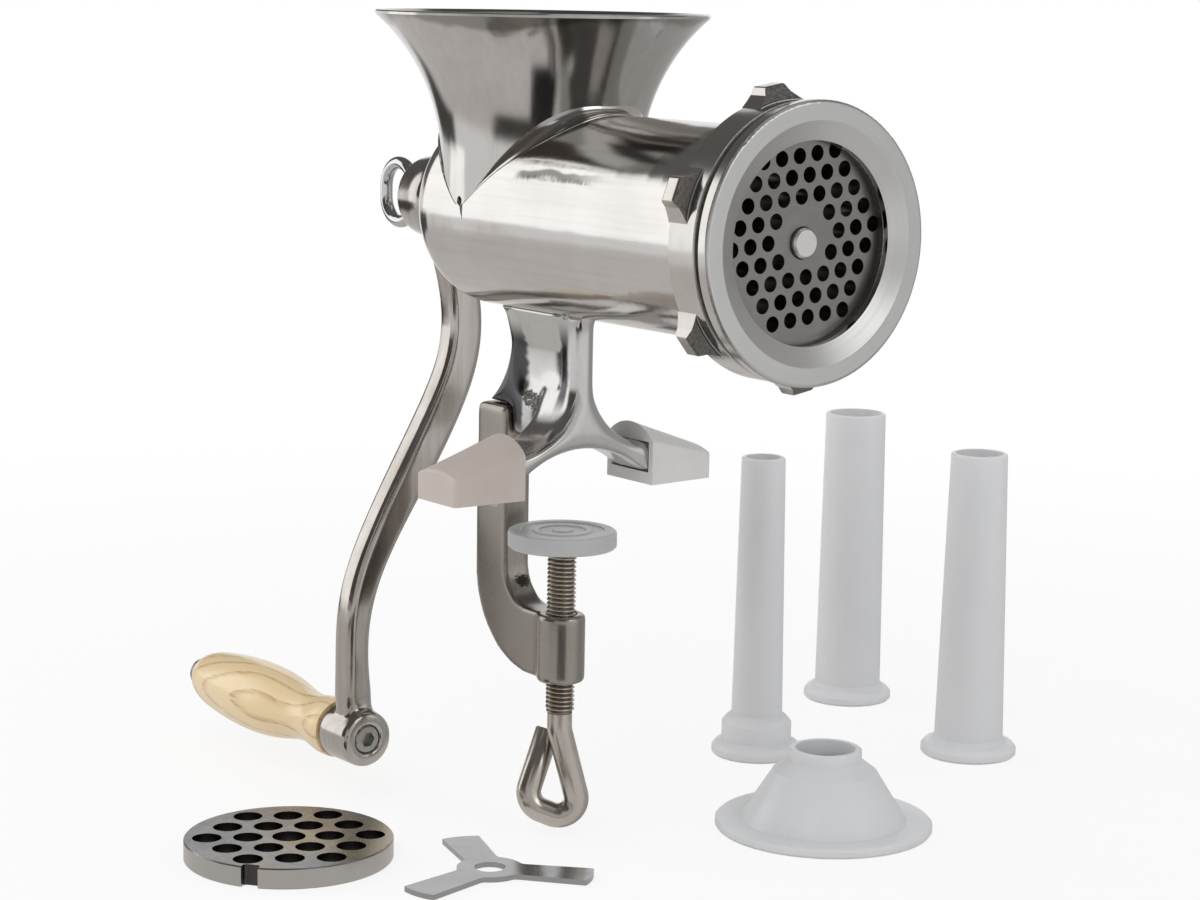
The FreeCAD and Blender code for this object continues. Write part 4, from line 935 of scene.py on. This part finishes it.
@dataclass
class MeshMaker:
    """Collects vertices and faces, and makes one smooth object of them."""

    name: str

    def __post_init__(self) -> None:
        """Start with no vertices."""
        self.points: list[Vector] = []
        self.faces: list[tuple[int, ...]] = []

    def rings(self, loops: Sequence[Sequence[Vector]], cap_first: bool = False,
              cap_last: bool = False) -> None:
        """Join closed loops of equal length with quads.

        Args:
            loops: The loops, each with its points in the same order.
            cap_first: Whether the first loop is filled.
            cap_last: Whether the last loop is filled.
        """
        base = len(self.points)
        size = len(loops[0])
        for loop in loops:
            self.points.extend(loop)
        for i in range(len(loops) - 1):
            for j in range(size):
                k = (j + 1) % size
                a = base + i * size
                b = a + size
                self.faces.append((a + j, a + k, b + k, b + j))
        if cap_first:
            self.faces.append(tuple(base + j for j in reversed(range(size))))
        if cap_last:
            last = base + (len(loops) - 1) * size
            self.faces.append(tuple(last + j for j in range(size)))

    def spin(self, outline: Sequence[tuple[float, float]], at: tuple[float, float] = (0.0, 0.0),
             steps: int = 64) -> None:
        """Turn an outline about a vertical line.

        Args:
            outline: Its points, each a radius and a height.
            at: The line's x and y.
            steps: Points in each turn.
        """
        turns = [math.tau * k / steps for k in range(steps)]
        self.rings([[Vector((at[0] + radius * math.cos(turn), at[1] + radius * math.sin(turn), z))
                     for turn in turns] for radius, z in outline])

    def blob(self, centre: Vector, radii: tuple[float, float, float], rows: int, steps: int,
             lumps: float = 0.0, seed: tuple[float, float, float] = (0.0, 0.0, 0.0)) -> None:
        """An egg-shaped drop of weld.

        Args:
            centre: Its middle.
            radii: Its half sizes along x, y and z.
            rows: Loops from top to bottom.
            steps: Points in each loop.
            lumps: Height of its lumps, as a share of its size.
            seed: Where in the noise the lumps are read.
        """
        wide, deep, tall = radii
        loops = []
        for i in range(rows):
            tilt = math.pi * (i + 0.5) / rows
            loop = []
            for j in range(steps):
                turn = math.tau * j / steps
                out = Vector((wide * math.sin(tilt) * math.cos(turn), deep * math.sin(tilt) * math.sin(turn),
                              tall * math.cos(tilt)))
                lump = lumps * noise.noise(out * (LUMPS_PER_RADIUS / deep) + Vector(seed))
                loop.append(centre + out * (1.0 + lump))
            loops.append(loop)
        self.rings(loops, cap_first=True, cap_last=True)

    def build(self, body: str, material: bpy.types.Material, slot: str,
              angle: float = 40.0) -> bpy.types.Object:
        """Make the object and let it ride on a body.

        Args:
            body: The body that it moves with.
            material: Its finish.
            slot: Not used.
            angle: Edges sharper than this stay sharp, in degrees.

        Returns:
            The new object.
        """
        mesh = bpy.data.meshes.new(self.name)
        mesh.from_pydata([tuple(p) for p in self.points], [], self.faces)
        work = bmesh.new()
        work.from_mesh(mesh)
        bmesh.ops.remove_doubles(work, verts=work.verts, dist=SAME_POINT)
        bmesh.ops.recalc_face_normals(work, faces=work.faces)
        for face in work.faces:
            face.smooth = True
        limit = math.radians(angle)
        for edge in work.edges:
            edge.smooth = len(edge.link_faces) < 2 or edge.calc_face_angle(0.0) < limit
        work.to_mesh(mesh)
        work.free()
        mesh.materials.append(material)
        return finish_piece(new_object(self.name, mesh), body)


def paint(material: bpy.types.Material, *names: str) -> None:
    """Give CAD nodes a finish.

    Args:
        material: The finish.
        names: The nodes.
    """
    for name in names:
        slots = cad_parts[name].data.materials
        slots.clear()
        slots.append(material)
        log.info("node %s: %s", name, material.name)


@dataclass
class Casting:
    """A CAD node's shape with the softly rounded edges that casting and hand polishing leave."""

    node: str
    name: str
    voxel: float
    rounds: int
    freedom: Callable[[Vector], float]
    seam: float = 2e-6

    def build(self, body: str, material: bpy.types.Material, slot: str) -> bpy.types.Object:
        """Make the rounded piece and let it stand for the node.

        Args:
            body: The body that it moves with.
            material: Its finish.
            slot: Not used.

        Returns:
            The new object.
        """
        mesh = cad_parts[self.node].data.copy()
        mesh.materials.clear()
        work = bmesh.new()
        work.from_mesh(mesh)
        bmesh.ops.remove_doubles(work, verts=work.verts, dist=self.seam)
        work.to_mesh(mesh)
        work.free()
        thing = new_object(self.name, mesh)
        remesh = thing.modifiers.new("even", "REMESH")
        remesh.mode = "VOXEL"
        remesh.voxel_size = self.voxel
        graph = bpy.context.evaluated_depsgraph_get()
        even = bpy.data.meshes.new_from_object(thing.evaluated_get(graph))
        thing.modifiers.clear()
        thing.data = even
        work = bmesh.new()
        work.from_mesh(even)
        free = [(vertex, self.freedom(vertex.co)) for vertex in work.verts]
        for k in range(self.rounds):
            share = (k + 1) / self.rounds
            moving = [vertex for vertex, amount in free if amount >= share]
            bmesh.ops.smooth_vert(work, verts=moving, factor=0.5, use_axis_x=True, use_axis_y=True,
                                  use_axis_z=True)
        for face in work.faces:
            face.smooth = True
        work.to_mesh(even)
        work.free()
        even.materials.clear()
        even.materials.append(material)
        finish_piece(thing, body)
        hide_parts(self.node)
        return thing


@dataclass
class Head:
    """Barrel, hopper, ring nut, plate and what turns inside."""

    barrel_radius: float = 0.03365
    throat_radius: float = 0.03355
    flare_start: float = 0.108
    flare_radius: float = 0.0646
    front_fillet: float = 0.0066
    rear_fillet: float = 0.0022
    toe: float = 0.00016
    fillet_steps: int = 12
    weld_steps: int = 72
    weld_start: float = 0.012
    weld_top: float = 0.42
    weld_taper: float = 0.7
    weld_depth: float = 0.0005
    weld_edge: float = 0.00012
    weld_skin: float = 0.00002
    bead_size: tuple[float, float, float] = (0.000715, 0.0013, 0.001625)
    bead_rise: float = 0.0042

    def build(self) -> None:
        """Dress the head and add the welds between hopper and barrel."""
        body = BarrelSteel("barrel_steel", lay=Lay.ALONG_BARREL, wave=0.0007).dress()
        hopper = HopperSteel("hopper_steel", light=(0.52, 0.505, 0.49), dark=(0.36, 0.33, 0.30),
                             lay=Lay.UPRIGHT, wave=0.0010).dress()
        paint(body, "barrel")
        paint(hopper, "hopper")
        paint(RingSteel().dress(), "ring_nut")
        paint(GroundSteel("plate_steel", (0.26, 0.25, 0.24), (0.18, 0.172, 0.165)).dress(), "fine_plate")
        paint(CastSteel("blasted_steel", (0.76, 0.75, 0.73), (0.54, 0.53, 0.51)).dress(), "auger")
        paint(GroundSteel("knife_steel", light=(0.55, 0.55, 0.54)).dress(), "knife")
        paint(CastSteel("key_steel").dress(), "plate_key")
        paint(Rubber("bearing_plastic", (0.86, 0.86, 0.84), (0.78, 0.78, 0.76)).dress(),
              "rear_bush", "thrust_washer")
        self.weld("hopper_weld_front", -1, self.front_fillet, body)
        self.weld("hopper_weld_rear", 1, self.rear_fillet, body)
        self.bead(body)

    def hopper_radius(self, z: float) -> float:
        """The hopper's outer radius at a height.

        Args:
            z: The height.

        Returns:
            The throat's radius low down, and the flare's above it.
        """
        rise = z - self.flare_start
        if rise <= 0.0:
            return self.throat_radius
        centre = self.throat_radius + self.flare_radius
        return centre - math.sqrt(self.flare_radius ** 2 - rise ** 2)

    def ball(self, angle: float, size: float) -> tuple[Vector, Vector, Vector]:
        """A ball that rolls in the corner between hopper and barrel.

        Args:
            angle: Where it is, round the hopper's axis.
            size: The ball's radius.

        Returns:
            Its centre and its contacts with the hopper and the barrel.
        """
        z = AXIS_HEIGHT + self.barrel_radius
        reach = self.throat_radius + size
        for _ in range(12):
            reach = self.hopper_radius(z) + size
            x = reach * math.cos(angle)
            z = AXIS_HEIGHT + math.sqrt(max((self.barrel_radius + size) ** 2 - x * x, 1e-12))
        y = HOPPER_AT + reach * math.sin(angle)
        centre = Vector((x, y, z))
        inward = Vector((-math.cos(angle), -math.sin(angle), 0.0))
        down = Vector((-x, 0.0, AXIS_HEIGHT - z)).normalized()
        return centre, centre + inward * size, centre + down * size

    def weld(self, name: str, sign: int, size: float, material: bpy.types.Material) -> None:
        """The ground weld along one side of the hopper's foot.

        Args:
            name: The piece's name.
            sign: -1 for the front, 1 for the rear.
            size: Radius of the hollow at its widest.
            material: Its finish.
        """
        maker = MeshMaker(name)
        loops = []
        for k in range(self.weld_steps + 1):
            share = k / self.weld_steps
            angle = sign * math.pi * (self.weld_start + (1.0 - 2.0 * self.weld_start) * share)
            out = abs(2.0 * share - 1.0)
            belly = self.weld_top + (1.0 - self.weld_top) * math.sin(math.pi * out) ** 1.5
            local = size * belly * (1.0 - self.weld_taper * out ** 6)
            centre, high, low = self.ball(angle, local)
            first = (high - centre).normalized()
            last = (low - centre).normalized()
            loop = []
            for j in range(self.fillet_steps + 1):
                direction = first.slerp(last, j / self.fillet_steps)
                sink = {0: self.weld_edge, self.fillet_steps: -self.toe}.get(j, self.weld_skin)
                loop.append(centre + direction * (local + sink))
            bisector = first + last
            root = centre + bisector.normalized() * (2.0 * local / bisector.length + self.weld_depth)
            loops.append([high + first * self.weld_depth, *loop, low + last * self.weld_depth, root])
        maker.rings(loops, cap_first=True, cap_last=True)
        maker.build("body", material, "polished_steel", 60.0)

    def bead(self, material: bpy.types.Material) -> None:
        """The blob of weld at the foot of the V, on both sides.

        Args:
            material: Its finish.
        """
        maker = MeshMaker("weld_beads")
        for side in (-1, 1):
            centre = Vector((side * (self.barrel_radius - 0.0003), HOPPER_AT - 0.0004,
                             AXIS_HEIGHT + self.bead_rise))
            maker.blob(centre, self.bead_size, rows=9, steps=16, lumps=0.22, seed=(side, 3.0, 1.0))
        maker.build("body", material, "polished_steel", SMOOTH_ALL)


@dataclass
class Stand:
    """Column, clamp bar and rubber boots."""

    nub_at: tuple[float, float] = (-0.0298, -0.0023)
    nub_radius: float = 0.0011
    nub_length: float = 0.0034
    bead_at: tuple[float, float, float] = (-0.0094, -0.0123, 0.0596)
    bead_size: tuple[float, float, float] = (0.0016, 0.0012, 0.0011)
    seam_radius: float = 0.0337
    seam_reach: float = 0.0025
    arm_from: float = 0.027
    arm_freedom: float = 0.3
    bar_freedom: float = 0.42
    bar_end: float = 0.004
    bar_run: float = 0.012

    def off_barrel(self, point: Vector) -> float:
        """How freely the column's surface is rounded.

        Args:
            point: A point on it.

        Returns:
            0 at the barrel, 1 a little way off it, and less out on the arms, which the boots sit on.
        """
        reach = math.hypot(point.x, point.z - AXIS_HEIGHT) - self.seam_radius
        most = self.arm_freedom if abs(point.x) > self.arm_from else 1.0
        return min(reach / self.seam_reach, most)

    def up_bar(self, point: Vector) -> float:
        """How freely the bar is rounded: strongly at its upper end, lightly elsewhere."""
        return self.bar_freedom + max(0.0, point.z - self.bar_end) / self.bar_run

    def build(self) -> None:
        """Dress the stand and add the small marks of its making."""
        column = ColumnSteel("column_steel", light=(0.53, 0.52, 0.51), dark=(0.37, 0.345, 0.32),
                             lay=Lay.NONE, rough=0.16, wave=0.0009, lines=0.000008).dress()
        casting = Casting("column", "column_casting", 0.0008, 50, self.off_barrel)
        casting.build("body", column, "polished_steel")
        bar = Casting("c_frame", "c_frame_bar", 0.0006, 30, self.up_bar)
        bar.build("body", SatinFrameSteel().dress(), "satin_steel")
        rubber = Rubber("boot_rubber_taupe", (0.60, 0.54, 0.495), (0.52, 0.455, 0.41)).dress()
        # The right boot is a lighter copy of the rubber, painted as if it were lit more brightly.
        pale = Rubber("boot_rubber_painted_lit", (0.80, 0.79, 0.77), (0.70, 0.69, 0.67)).dress()
        paint(rubber, "boot_left")
        paint(pale, "boot_right")
        nub = MeshMaker("boot_nub")
        r = self.nub_radius
        nub.spin([(r * 0.9, 0.0006), (r, 0.0), (r, -self.nub_length + 0.0005), (r * 0.8, -self.nub_length),
                  (r * 0.05, -self.nub_length - 0.0001)], self.nub_at, 20)
        nub.build("body", rubber, "boot_rubber")
        bead = MeshMaker("column_bead")
        bead.blob(Vector(self.bead_at), self.bead_size, rows=7, steps=14)
        bead.build("body", column, "polished_steel", SMOOTH_ALL)


@dataclass
class Crank:
    """Crank arm, its screws and the wooden grip."""

    boss_at: tuple[float, float] = (-0.033, -0.0991)
    boss_radius: float = 0.0102
    grip_middle: float = 0.13
    hub_radius: float = 0.0150
    neck: float = 0.002
    neck_reach: float = 0.0045
    freedom: float = 0.13

    def at_joints(self, point: Vector) -> float:
        """How freely the arm is rounded.

        Args:
            point: A point on it.

        Returns:
            More than 1 in the necks beside the hub and the end boss, and little elsewhere.
        """
        boss_x, boss_z = self.boss_at
        end = math.hypot(point.x - boss_x, point.z - boss_z) - self.boss_radius
        hub = math.hypot(point.x, point.z - AXIS_HEIGHT) - self.hub_radius
        nearer = min(abs(end - self.neck), abs(hub - self.neck))
        return self.freedom + max(0.0, 1.0 - nearer / self.neck_reach)

    def build(self) -> None:
        """Dress the crank."""
        arm = PolishedSteel("crank_steel", light=(0.48, 0.455, 0.43), dark=(0.27, 0.225, 0.185),
                            rough=0.15, lay=Lay.UPRIGHT, wave=0.0007, painted_reflections=0.8).dress()
        forging = Casting("crank_arm", "crank_arm_forging", 0.0006, 26, self.at_joints)
        forging.build("crank", arm, "polished_steel")
        chrome = PolishedSteel("bright_steel", light=(0.52, 0.52, 0.525), dark=(0.38, 0.37, 0.36),
                               rough=0.06, lay=Lay.NONE, wave=0.0002, lines=0.000003, painted_reflections=0.3).dress()
        paint(chrome, "thumb_screw")
        zinc = CastSteel("zinc_steel", (0.44, 0.44, 0.42), (0.30, 0.30, 0.285), 0.3, 0.00001).dress()
        paint(zinc, "crank_washer", "grip_spindle")
        cap = CastSteel("dark_cap_steel", (0.30, 0.29, 0.28), (0.16, 0.15, 0.15), 0.35, 0.00002).dress()
        paint(cap, "grip_cap")
        boss_x, boss_z = self.boss_at
        paint(Ash("ash", (boss_x, self.grip_middle, boss_z)).dress(), "wood_grip")


@dataclass
class Clamp:
    """The clamp screw with its thread and eye, and its swivel pad."""

    crest: float = 0.00495
    root: float = 0.0042
    pitch: float = 0.0015
    steps: int = 40
    rows_per_turn: int = 8
    fade_rows: float = 6.0
    thread_top: float = -0.0208
    thread_low: float = -0.0785
    eye_radius: float = 0.0043
    rivet_radius: float = 0.0055
    rivet_top: float = -0.017
    rivet_low: float = -0.01835
    neck_radius: float = 0.0032
    corners: tuple[tuple[float, float], ...] = ((0.0, 0.0), (0.0, -0.006), (0.0094, -0.0415),
                                                (-0.0108, -0.033), (-0.0014, -0.0088))
    bends: tuple[float, ...] = (0.012, 0.0062, 0.0066)
    eye_turn: float = -20.0
    eye_offset: float = 0.0092
    eye_steps: int = 32
    tip_round: float = 0.0005

    def build(self) -> None:
        """Make the screw and dress the pad."""
        steel = ThreadedSteel("threaded_steel", self.crest, self.thread_low).dress()
        maker = MeshMaker("clamp_screw_rod")
        self.thread(maker)
        self.eye(maker)
        r = self.rivet_radius
        maker.spin([(0.0001, self.rivet_top), (r - 0.0005, self.rivet_top), (r, self.rivet_top - 0.0005),
                    (r, self.rivet_low), (self.neck_radius, self.rivet_low),
                    (self.neck_radius, self.thread_top + 0.0004)], steps=self.steps)
        rod = maker.build("screw", steel, "rod_steel", 50.0)
        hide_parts("clamp_screw")
        disc = CastSteel("disc_steel", (0.66, 0.66, 0.64), (0.50, 0.50, 0.48), 0.3, 0.00001).dress()
        paint(disc, "pad_disc")
        paint(MilkyPlastic("pad_plastic", (0.58, 0.59, 0.585), (0.48, 0.49, 0.49)).dress(), "pad_cap")

    def thread(self, maker: MeshMaker) -> None:
        """The rolled thread: each ring's points stand as far out as the helix asks.

        Args:
            maker: The mesh that it is added to.
        """
        threaded = self.thread_top - self.thread_low
        rows = int(threaded / self.pitch * self.rows_per_turn)
        loops = []
        for i in range(rows + 1):
            z = self.thread_top - threaded * i / rows
            ends = min(1.0, i / self.fade_rows, (rows - i) / self.fade_rows)
            loop = []
            for j in range(self.steps):
                turn = j / self.steps
                phase = (z / self.pitch + turn) % 1.0
                tooth = min(1.0, max(0.0, 1.6 * (1.0 - abs(2.0 * phase - 1.0)) - 0.25))
                radius = self.root + (self.crest - self.root) * tooth * ends
                angle = math.tau * turn
                loop.append(Vector((radius * math.cos(angle), radius * math.sin(angle), z)))
            loops.append(loop)
        maker.rings(loops, cap_first=True)

    def path(self) -> list[Vector]:
        """The eye's centre line.

        Returns:
            Points along it, with rounded corners.
        """
        turn = math.radians(self.eye_turn)
        across = Vector((math.cos(turn), math.sin(turn), 0.0))
        behind = Vector((-across.y, across.x, 0.0))
        lift = (0.0, 0.0, 0.0, self.eye_offset * 0.55, self.eye_offset)
        knots = [across * u + behind * d + Vector((0.0, 0.0, self.thread_low + v))
                 for (u, v), d in zip(self.corners, lift)]
        points = [knots[0]]
        for k, radius in enumerate(self.bends):
            corner = knots[k + 1]
            back = (knots[k] - corner).normalized()
            ahead = (knots[k + 2] - corner).normalized()
            half = back.angle(ahead) / 2
            run = radius / math.tan(half)
            centre = corner + (back + ahead).normalized() * (radius / math.sin(half))
            first = (corner + back * run - centre).normalized()
            last = (corner + ahead * run - centre).normalized()
            count = 4 if radius > 0.01 else 16
            points.extend(centre + first.slerp(last, j / count) * radius for j in range(count + 1))
        points.append(knots[-1])
        return points

    def eye(self, maker: MeshMaker) -> None:
        """Sweep the plain rod along the eye.

        Args:
            maker: The mesh that it is added to.
        """
        points = self.path()
        side = Vector((1.0, 0.0, 0.0))
        turns = [math.tau * j / self.eye_steps for j in range(self.eye_steps)]
        loops = []
        for i, point in enumerate(points):
            ahead = (points[min(i + 1, len(points) - 1)] - points[max(i - 1, 0)]).normalized()
            side = (side - ahead * side.dot(ahead)).normalized()
            other = ahead.cross(side)
            loops.append([point + (side * math.cos(turn) + other * math.sin(turn)) * self.eye_radius
                          for turn in turns])
        end = points[-1]
        tip = (end - points[-2]).normalized()
        loops.append([end + tip * self.tip_round + (point - end) * 0.88 for point in loops[-1]])
        maker.rings(loops, cap_last=True)


@dataclass
class LoosePieces:
    """The spare plate, the star and the stuffing set on the floor."""

    plate_rim: float = 0.0015

    def build(self) -> None:
        """Dress the loose pieces."""
        low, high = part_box("coarse_plate")
        middle = ((low[0] + high[0]) / 2, (low[1] + high[1]) / 2)
        reach = (high[0] - low[0]) / 2 - self.plate_rim
        plate = GroundSteel("tinted_plate_steel", (0.33, 0.315, 0.29), (0.21, 0.20, 0.185), rough=0.28,
                            tint=0.6, lay=Lay.NONE, bore_centre=middle, bore_reach=reach)
        paint(plate.dress(), "coarse_plate")
        star = GroundSteel("star_steel", (0.40, 0.395, 0.40), (0.28, 0.275, 0.28), rough=0.2)
        paint(star.dress(), "stuffing_star")
        paint(MilkyPlastic("flange_plastic").dress(), "stuffing_flange")
        tubes = MilkyPlastic("tube_plastic", (0.90, 0.905, 0.92), (0.82, 0.83, 0.85)).dress()
        paint(tubes, "tube_small", "tube_medium", "tube_large")


def sector(x: Value, y: Value, turn: float, half_width: float, soft: float) -> Value:
    """Where a place or direction lies within a sector round the vertical.

    Args:
        x: Its X.
        y: Its Y.
        turn: The sector's middle, degrees from +Y towards +X.
        half_width: Half of its angle.
        soft: Width of its soft edges, in degrees.

    Returns:
        1 inside the sector, 0 outside.
    """
    middle = math.radians(turn)
    away = length(x, y) + 0.0001
    along = (x * math.sin(middle) + y * math.cos(middle)) / away
    outer = math.cos(math.radians(half_width + soft / 2))
    inner = math.cos(math.radians(half_width - soft / 2))
    return along.ramp(outer, inner)


@dataclass(frozen=True)
class FloorZone:
    """A darker part of the floor that only polished metal shows."""

    turn: float
    half_width: float
    near: float
    far: float
    tone: Colour
    soft: float = 8.0
    near_fade: float = 0.15
    far_fade: float = 0.2

    def mask(self, x: Value, y: Value) -> Value:
        """Where the zone is.

        Args:
            x: The place's X.
            y: The place's Y.

        Returns:
            1 inside the zone, 0 outside.
        """
        away = length(x, y)
        inside = away.ramp(self.far * (1.0 + self.far_fade), self.far * (1.0 - self.far_fade))
        if self.near > 0.0:
            fade = self.near * self.near_fade
            inside = inside * away.ramp(self.near - fade, self.near + fade)
        if self.half_width < 180.0:
            inside = inside * sector(x, y, self.turn, self.half_width, self.soft)
        return inside


@dataclass(frozen=True)
class SkyZone:
    """A part of the studio that polished metal shows in another tone than white."""

    turn: float
    half_width: float
    low: float
    high: float
    tone: Colour
    soft: float = 5.0

    def mask(self, x: Value, y: Value, z: Value) -> Value:
        """Where the zone is.

        Args:
            x: The direction's X.
            y: The direction's Y.
            z: The direction's Z.

        Returns:
            1 inside the zone, 0 outside.
        """
        half = math.radians(self.soft / 2)
        bottom = math.radians(self.low)
        inside = z.ramp(math.sin(bottom - half), math.sin(bottom + half))
        if self.high < 90.0:
            top = math.radians(self.high)
            inside = inside * z.ramp(math.sin(top + half), math.sin(top - half))
        if self.half_width < 180.0:
            inside = inside * sector(x, y, self.turn, self.half_width, self.soft)
        return inside


@dataclass(frozen=True)
class Panel:
    """A soft box, placed by the direction it stands in and the angle it fills."""

    name: str
    turn: float
    rise: float
    width: float
    height: float
    distance: float
    power: float
    mirrored: bool = True


@dataclass
class Studio:
    """Floor, sky, soft boxes and camera."""

    floor_z: float = -0.1225
    floor_gap: float = 0.0002
    floor_size: float = 4.0
    aim: tuple[float, float, float] = (0.0, -0.02, 0.09)
    camera_at: tuple[float, float, float] = (-0.5595, -0.7446, 0.1694)
    camera_right: tuple[float, float, float] = (0.79315, -0.60878, 0.01721)
    camera_up: tuple[float, float, float] = (0.08761, 0.14202, 0.98598)
    camera_ahead: tuple[float, float, float] = (0.60269, 0.78052, -0.16598)
    lens: float = 84.12
    matt_light: float = 0.62
    floor_colour: Colour = (0.9, 0.9, 0.9)
    floor_fade: tuple[float, float] = (0.3, 0.9)
    floor_glow: float = 0.84
    zones: tuple[SkyZone, ...] = (
        SkyZone(98.0, 38.0, -20.0, 40.0, (0.48, 0.47, 0.46), 12.0),
        SkyZone(178.0, 28.0, -20.0, 12.0, (0.75, 0.74, 0.73), 10.0),
        SkyZone(-145.0, 30.0, -20.0, 18.0, (0.60, 0.59, 0.58), 10.0),
        SkyZone(-152.0, 26.0, 18.0, 60.0, (0.13, 0.125, 0.12), 8.0),
        SkyZone(6.0, 21.0, 4.0, 60.0, (0.13, 0.127, 0.122)),
        SkyZone(-82.0, 34.0, 1.0, 60.0, (0.10, 0.088, 0.076), 8.0),
        SkyZone(0.0, 180.0, 31.0, 95.0, (0.14, 0.135, 0.13)),
        SkyZone(140.0, 40.0, 45.0, 95.0, (0.62, 0.61, 0.60), 14.0),
    )
    marks: tuple[FloorZone, ...] = (
        FloorZone(0.0, 180.0, 0.0, 0.75, (0.72, 0.70, 0.68)),
        FloorZone(92.0, 42.0, 0.0, 6.0, (0.45, 0.44, 0.43), 30.0),
        FloorZone(-148.0, 19.0, 0.155, 0.62, (0.025, 0.025, 0.025)),
        FloorZone(-112.0, 24.0, 0.43, 0.85, (0.07, 0.066, 0.06)),
        FloorZone(-12.0, 18.0, 0.75, 2.0, (0.08, 0.075, 0.07)),
    )
    panels: tuple[Panel, ...] = (
        Panel("key", -31.0, 13.0, 0.80, 1.12, 1.5, 1.9),
        Panel("key_spread", -31.0, 25.0, 0.80, 1.12, 1.5, 2.6, False),
        Panel("front_fill", 164.0, 21.0, 0.80, 0.50, 1.5, 1.5),
        Panel("broad_top", -120.0, 50.0, 1.60, 1.60, 1.8, 9.0, False),
    )

    def build(self) -> None:
        """Set up everything that isn't the object."""
        self.camera()
        self.floor()
        self.sky()
        for panel in self.panels:
            self.lamp(panel)

    def camera(self) -> None:
        """The camera at the photograph's viewpoint."""
        data = bpy.data.cameras.new("camera")
        data.sensor_width = 36.0
        data.sensor_fit = "HORIZONTAL"
        data.lens = self.lens
        data.clip_start = 0.05
        data.clip_end = 50.0
        camera = new_object("camera", data)
        turn = Matrix((self.camera_right, self.camera_up, [-v for v in self.camera_ahead])).transposed()
        camera.matrix_world = Matrix.Translation(self.camera_at) @ turn.to_4x4()
        bpy.context.scene.camera = camera

    def floor(self) -> None:
        """A wide pale disc that keeps soft shadows."""
        mesh = bpy.data.meshes.new("floor")
        work = bmesh.new()
        bmesh.ops.create_circle(work, cap_ends=True, segments=96, radius=self.floor_size,
                                matrix=Matrix.Translation((0.0, 0.0, self.floor_z - self.floor_gap)))
        work.to_mesh(mesh)
        work.free()
        floor = new_object("floor", mesh)
        g = Graph("floor_white")
        rays = g.add("ShaderNodeLightPath")
        seen = Value(g, rays.outputs["Is Glossy Ray"]) + Value(g, rays.outputs["Is Transmission Ray"])
        matt = g.add("ShaderNodeBsdfDiffuse", None, {"Color": self.floor_colour})
        x, y, _ = g.place()
        tone: object = WHITE
        for mark in self.marks:
            tone = g.blend(mark.mask(x, y), tone, mark.tone)
        tone = g.blend(rays.outputs["Is Glossy Ray"], WHITE, tone)
        white = g.add("ShaderNodeEmission", None, {"Color": tone, "Strength": 1.0})
        far = length(x, y).ramp(*self.floor_fade)
        glow = far * (1.0 - self.floor_glow) + self.floor_glow
        share = (seen + Value(g, rays.outputs["Is Camera Ray"]) * glow).clamp()
        mix = g.add("ShaderNodeMixShader", None, {0: share, 1: matt.outputs[0], 2: white.outputs[0]})
        g.tree.links.new(mix.outputs[0], g.output.inputs[0])
        mesh.materials.append(g.material)

    def sky(self) -> None:
        """A white studio with the dark gaps that the metal shows; matt surfaces get an even light."""
        world = bpy.data.worlds.new("studio")
        world.use_nodes = True
        bpy.context.scene.world = world
        g = Graph.of_tree(world.node_tree, "ShaderNodeOutputWorld")
        x, y, z = g.place("Generated")
        tone: object = WHITE
        for zone in self.zones:
            tone = g.blend(zone.mask(x, y, z), tone, zone.tone)
        rays = g.add("ShaderNodeLightPath")
        gloss = Value(g, rays.outputs["Is Glossy Ray"]) + Value(g, rays.outputs["Is Transmission Ray"])
        mirrored = g.add("ShaderNodeBackground", None, {"Color": tone, "Strength": 1.0})
        plain = g.add("ShaderNodeBackground", None, {"Color": WHITE, "Strength": 1.0})
        even = g.add("ShaderNodeBackground", None, {"Color": WHITE, "Strength": self.matt_light})
        first = g.add("ShaderNodeMixShader", None,
                      {0: gloss.clamp(), 1: even.outputs[0], 2: mirrored.outputs[0]})
        second = g.add("ShaderNodeMixShader", None,
                       {0: rays.outputs["Is Camera Ray"], 1: first.outputs[0], 2: plain.outputs[0]})
        g.tree.links.new(second.outputs[0], g.output.inputs[0])

    def lamp(self, panel: Panel) -> None:
        """A rectangular soft light that looks at the object.

        Args:
            panel: Where it stands and how strong it is.
        """
        turn = math.radians(panel.turn)
        rise = math.radians(panel.rise)
        away = Vector((math.sin(turn) * math.cos(rise), math.cos(turn) * math.cos(rise), math.sin(rise)))
        data = bpy.data.lights.new(panel.name, "AREA")
        data.shape = "RECTANGLE"
        data.size = panel.width
        data.size_y = panel.height
        data.energy = panel.power
        lamp = new_object(panel.name, data)
        lamp.location = Vector(self.aim) + away * panel.distance
        lamp.rotation_euler = (-away).to_track_quat("-Z", "Y").to_euler()
        lamp.visible_camera = False
        lamp.visible_glossy = panel.mirrored


def main() -> None:
    """Build the studio and the object's looks."""
    logging.basicConfig(level=logging.INFO, format="%(name)s %(message)s")
    bpy.context.scene.view_settings.view_transform = "Standard"
    for part in (Studio(), Head(), Stand(), Crank(), Clamp(), LoosePieces()):
        part.build()
        log.info("built %s", type(part).__name__)


if __name__ == "__main__":
    main()
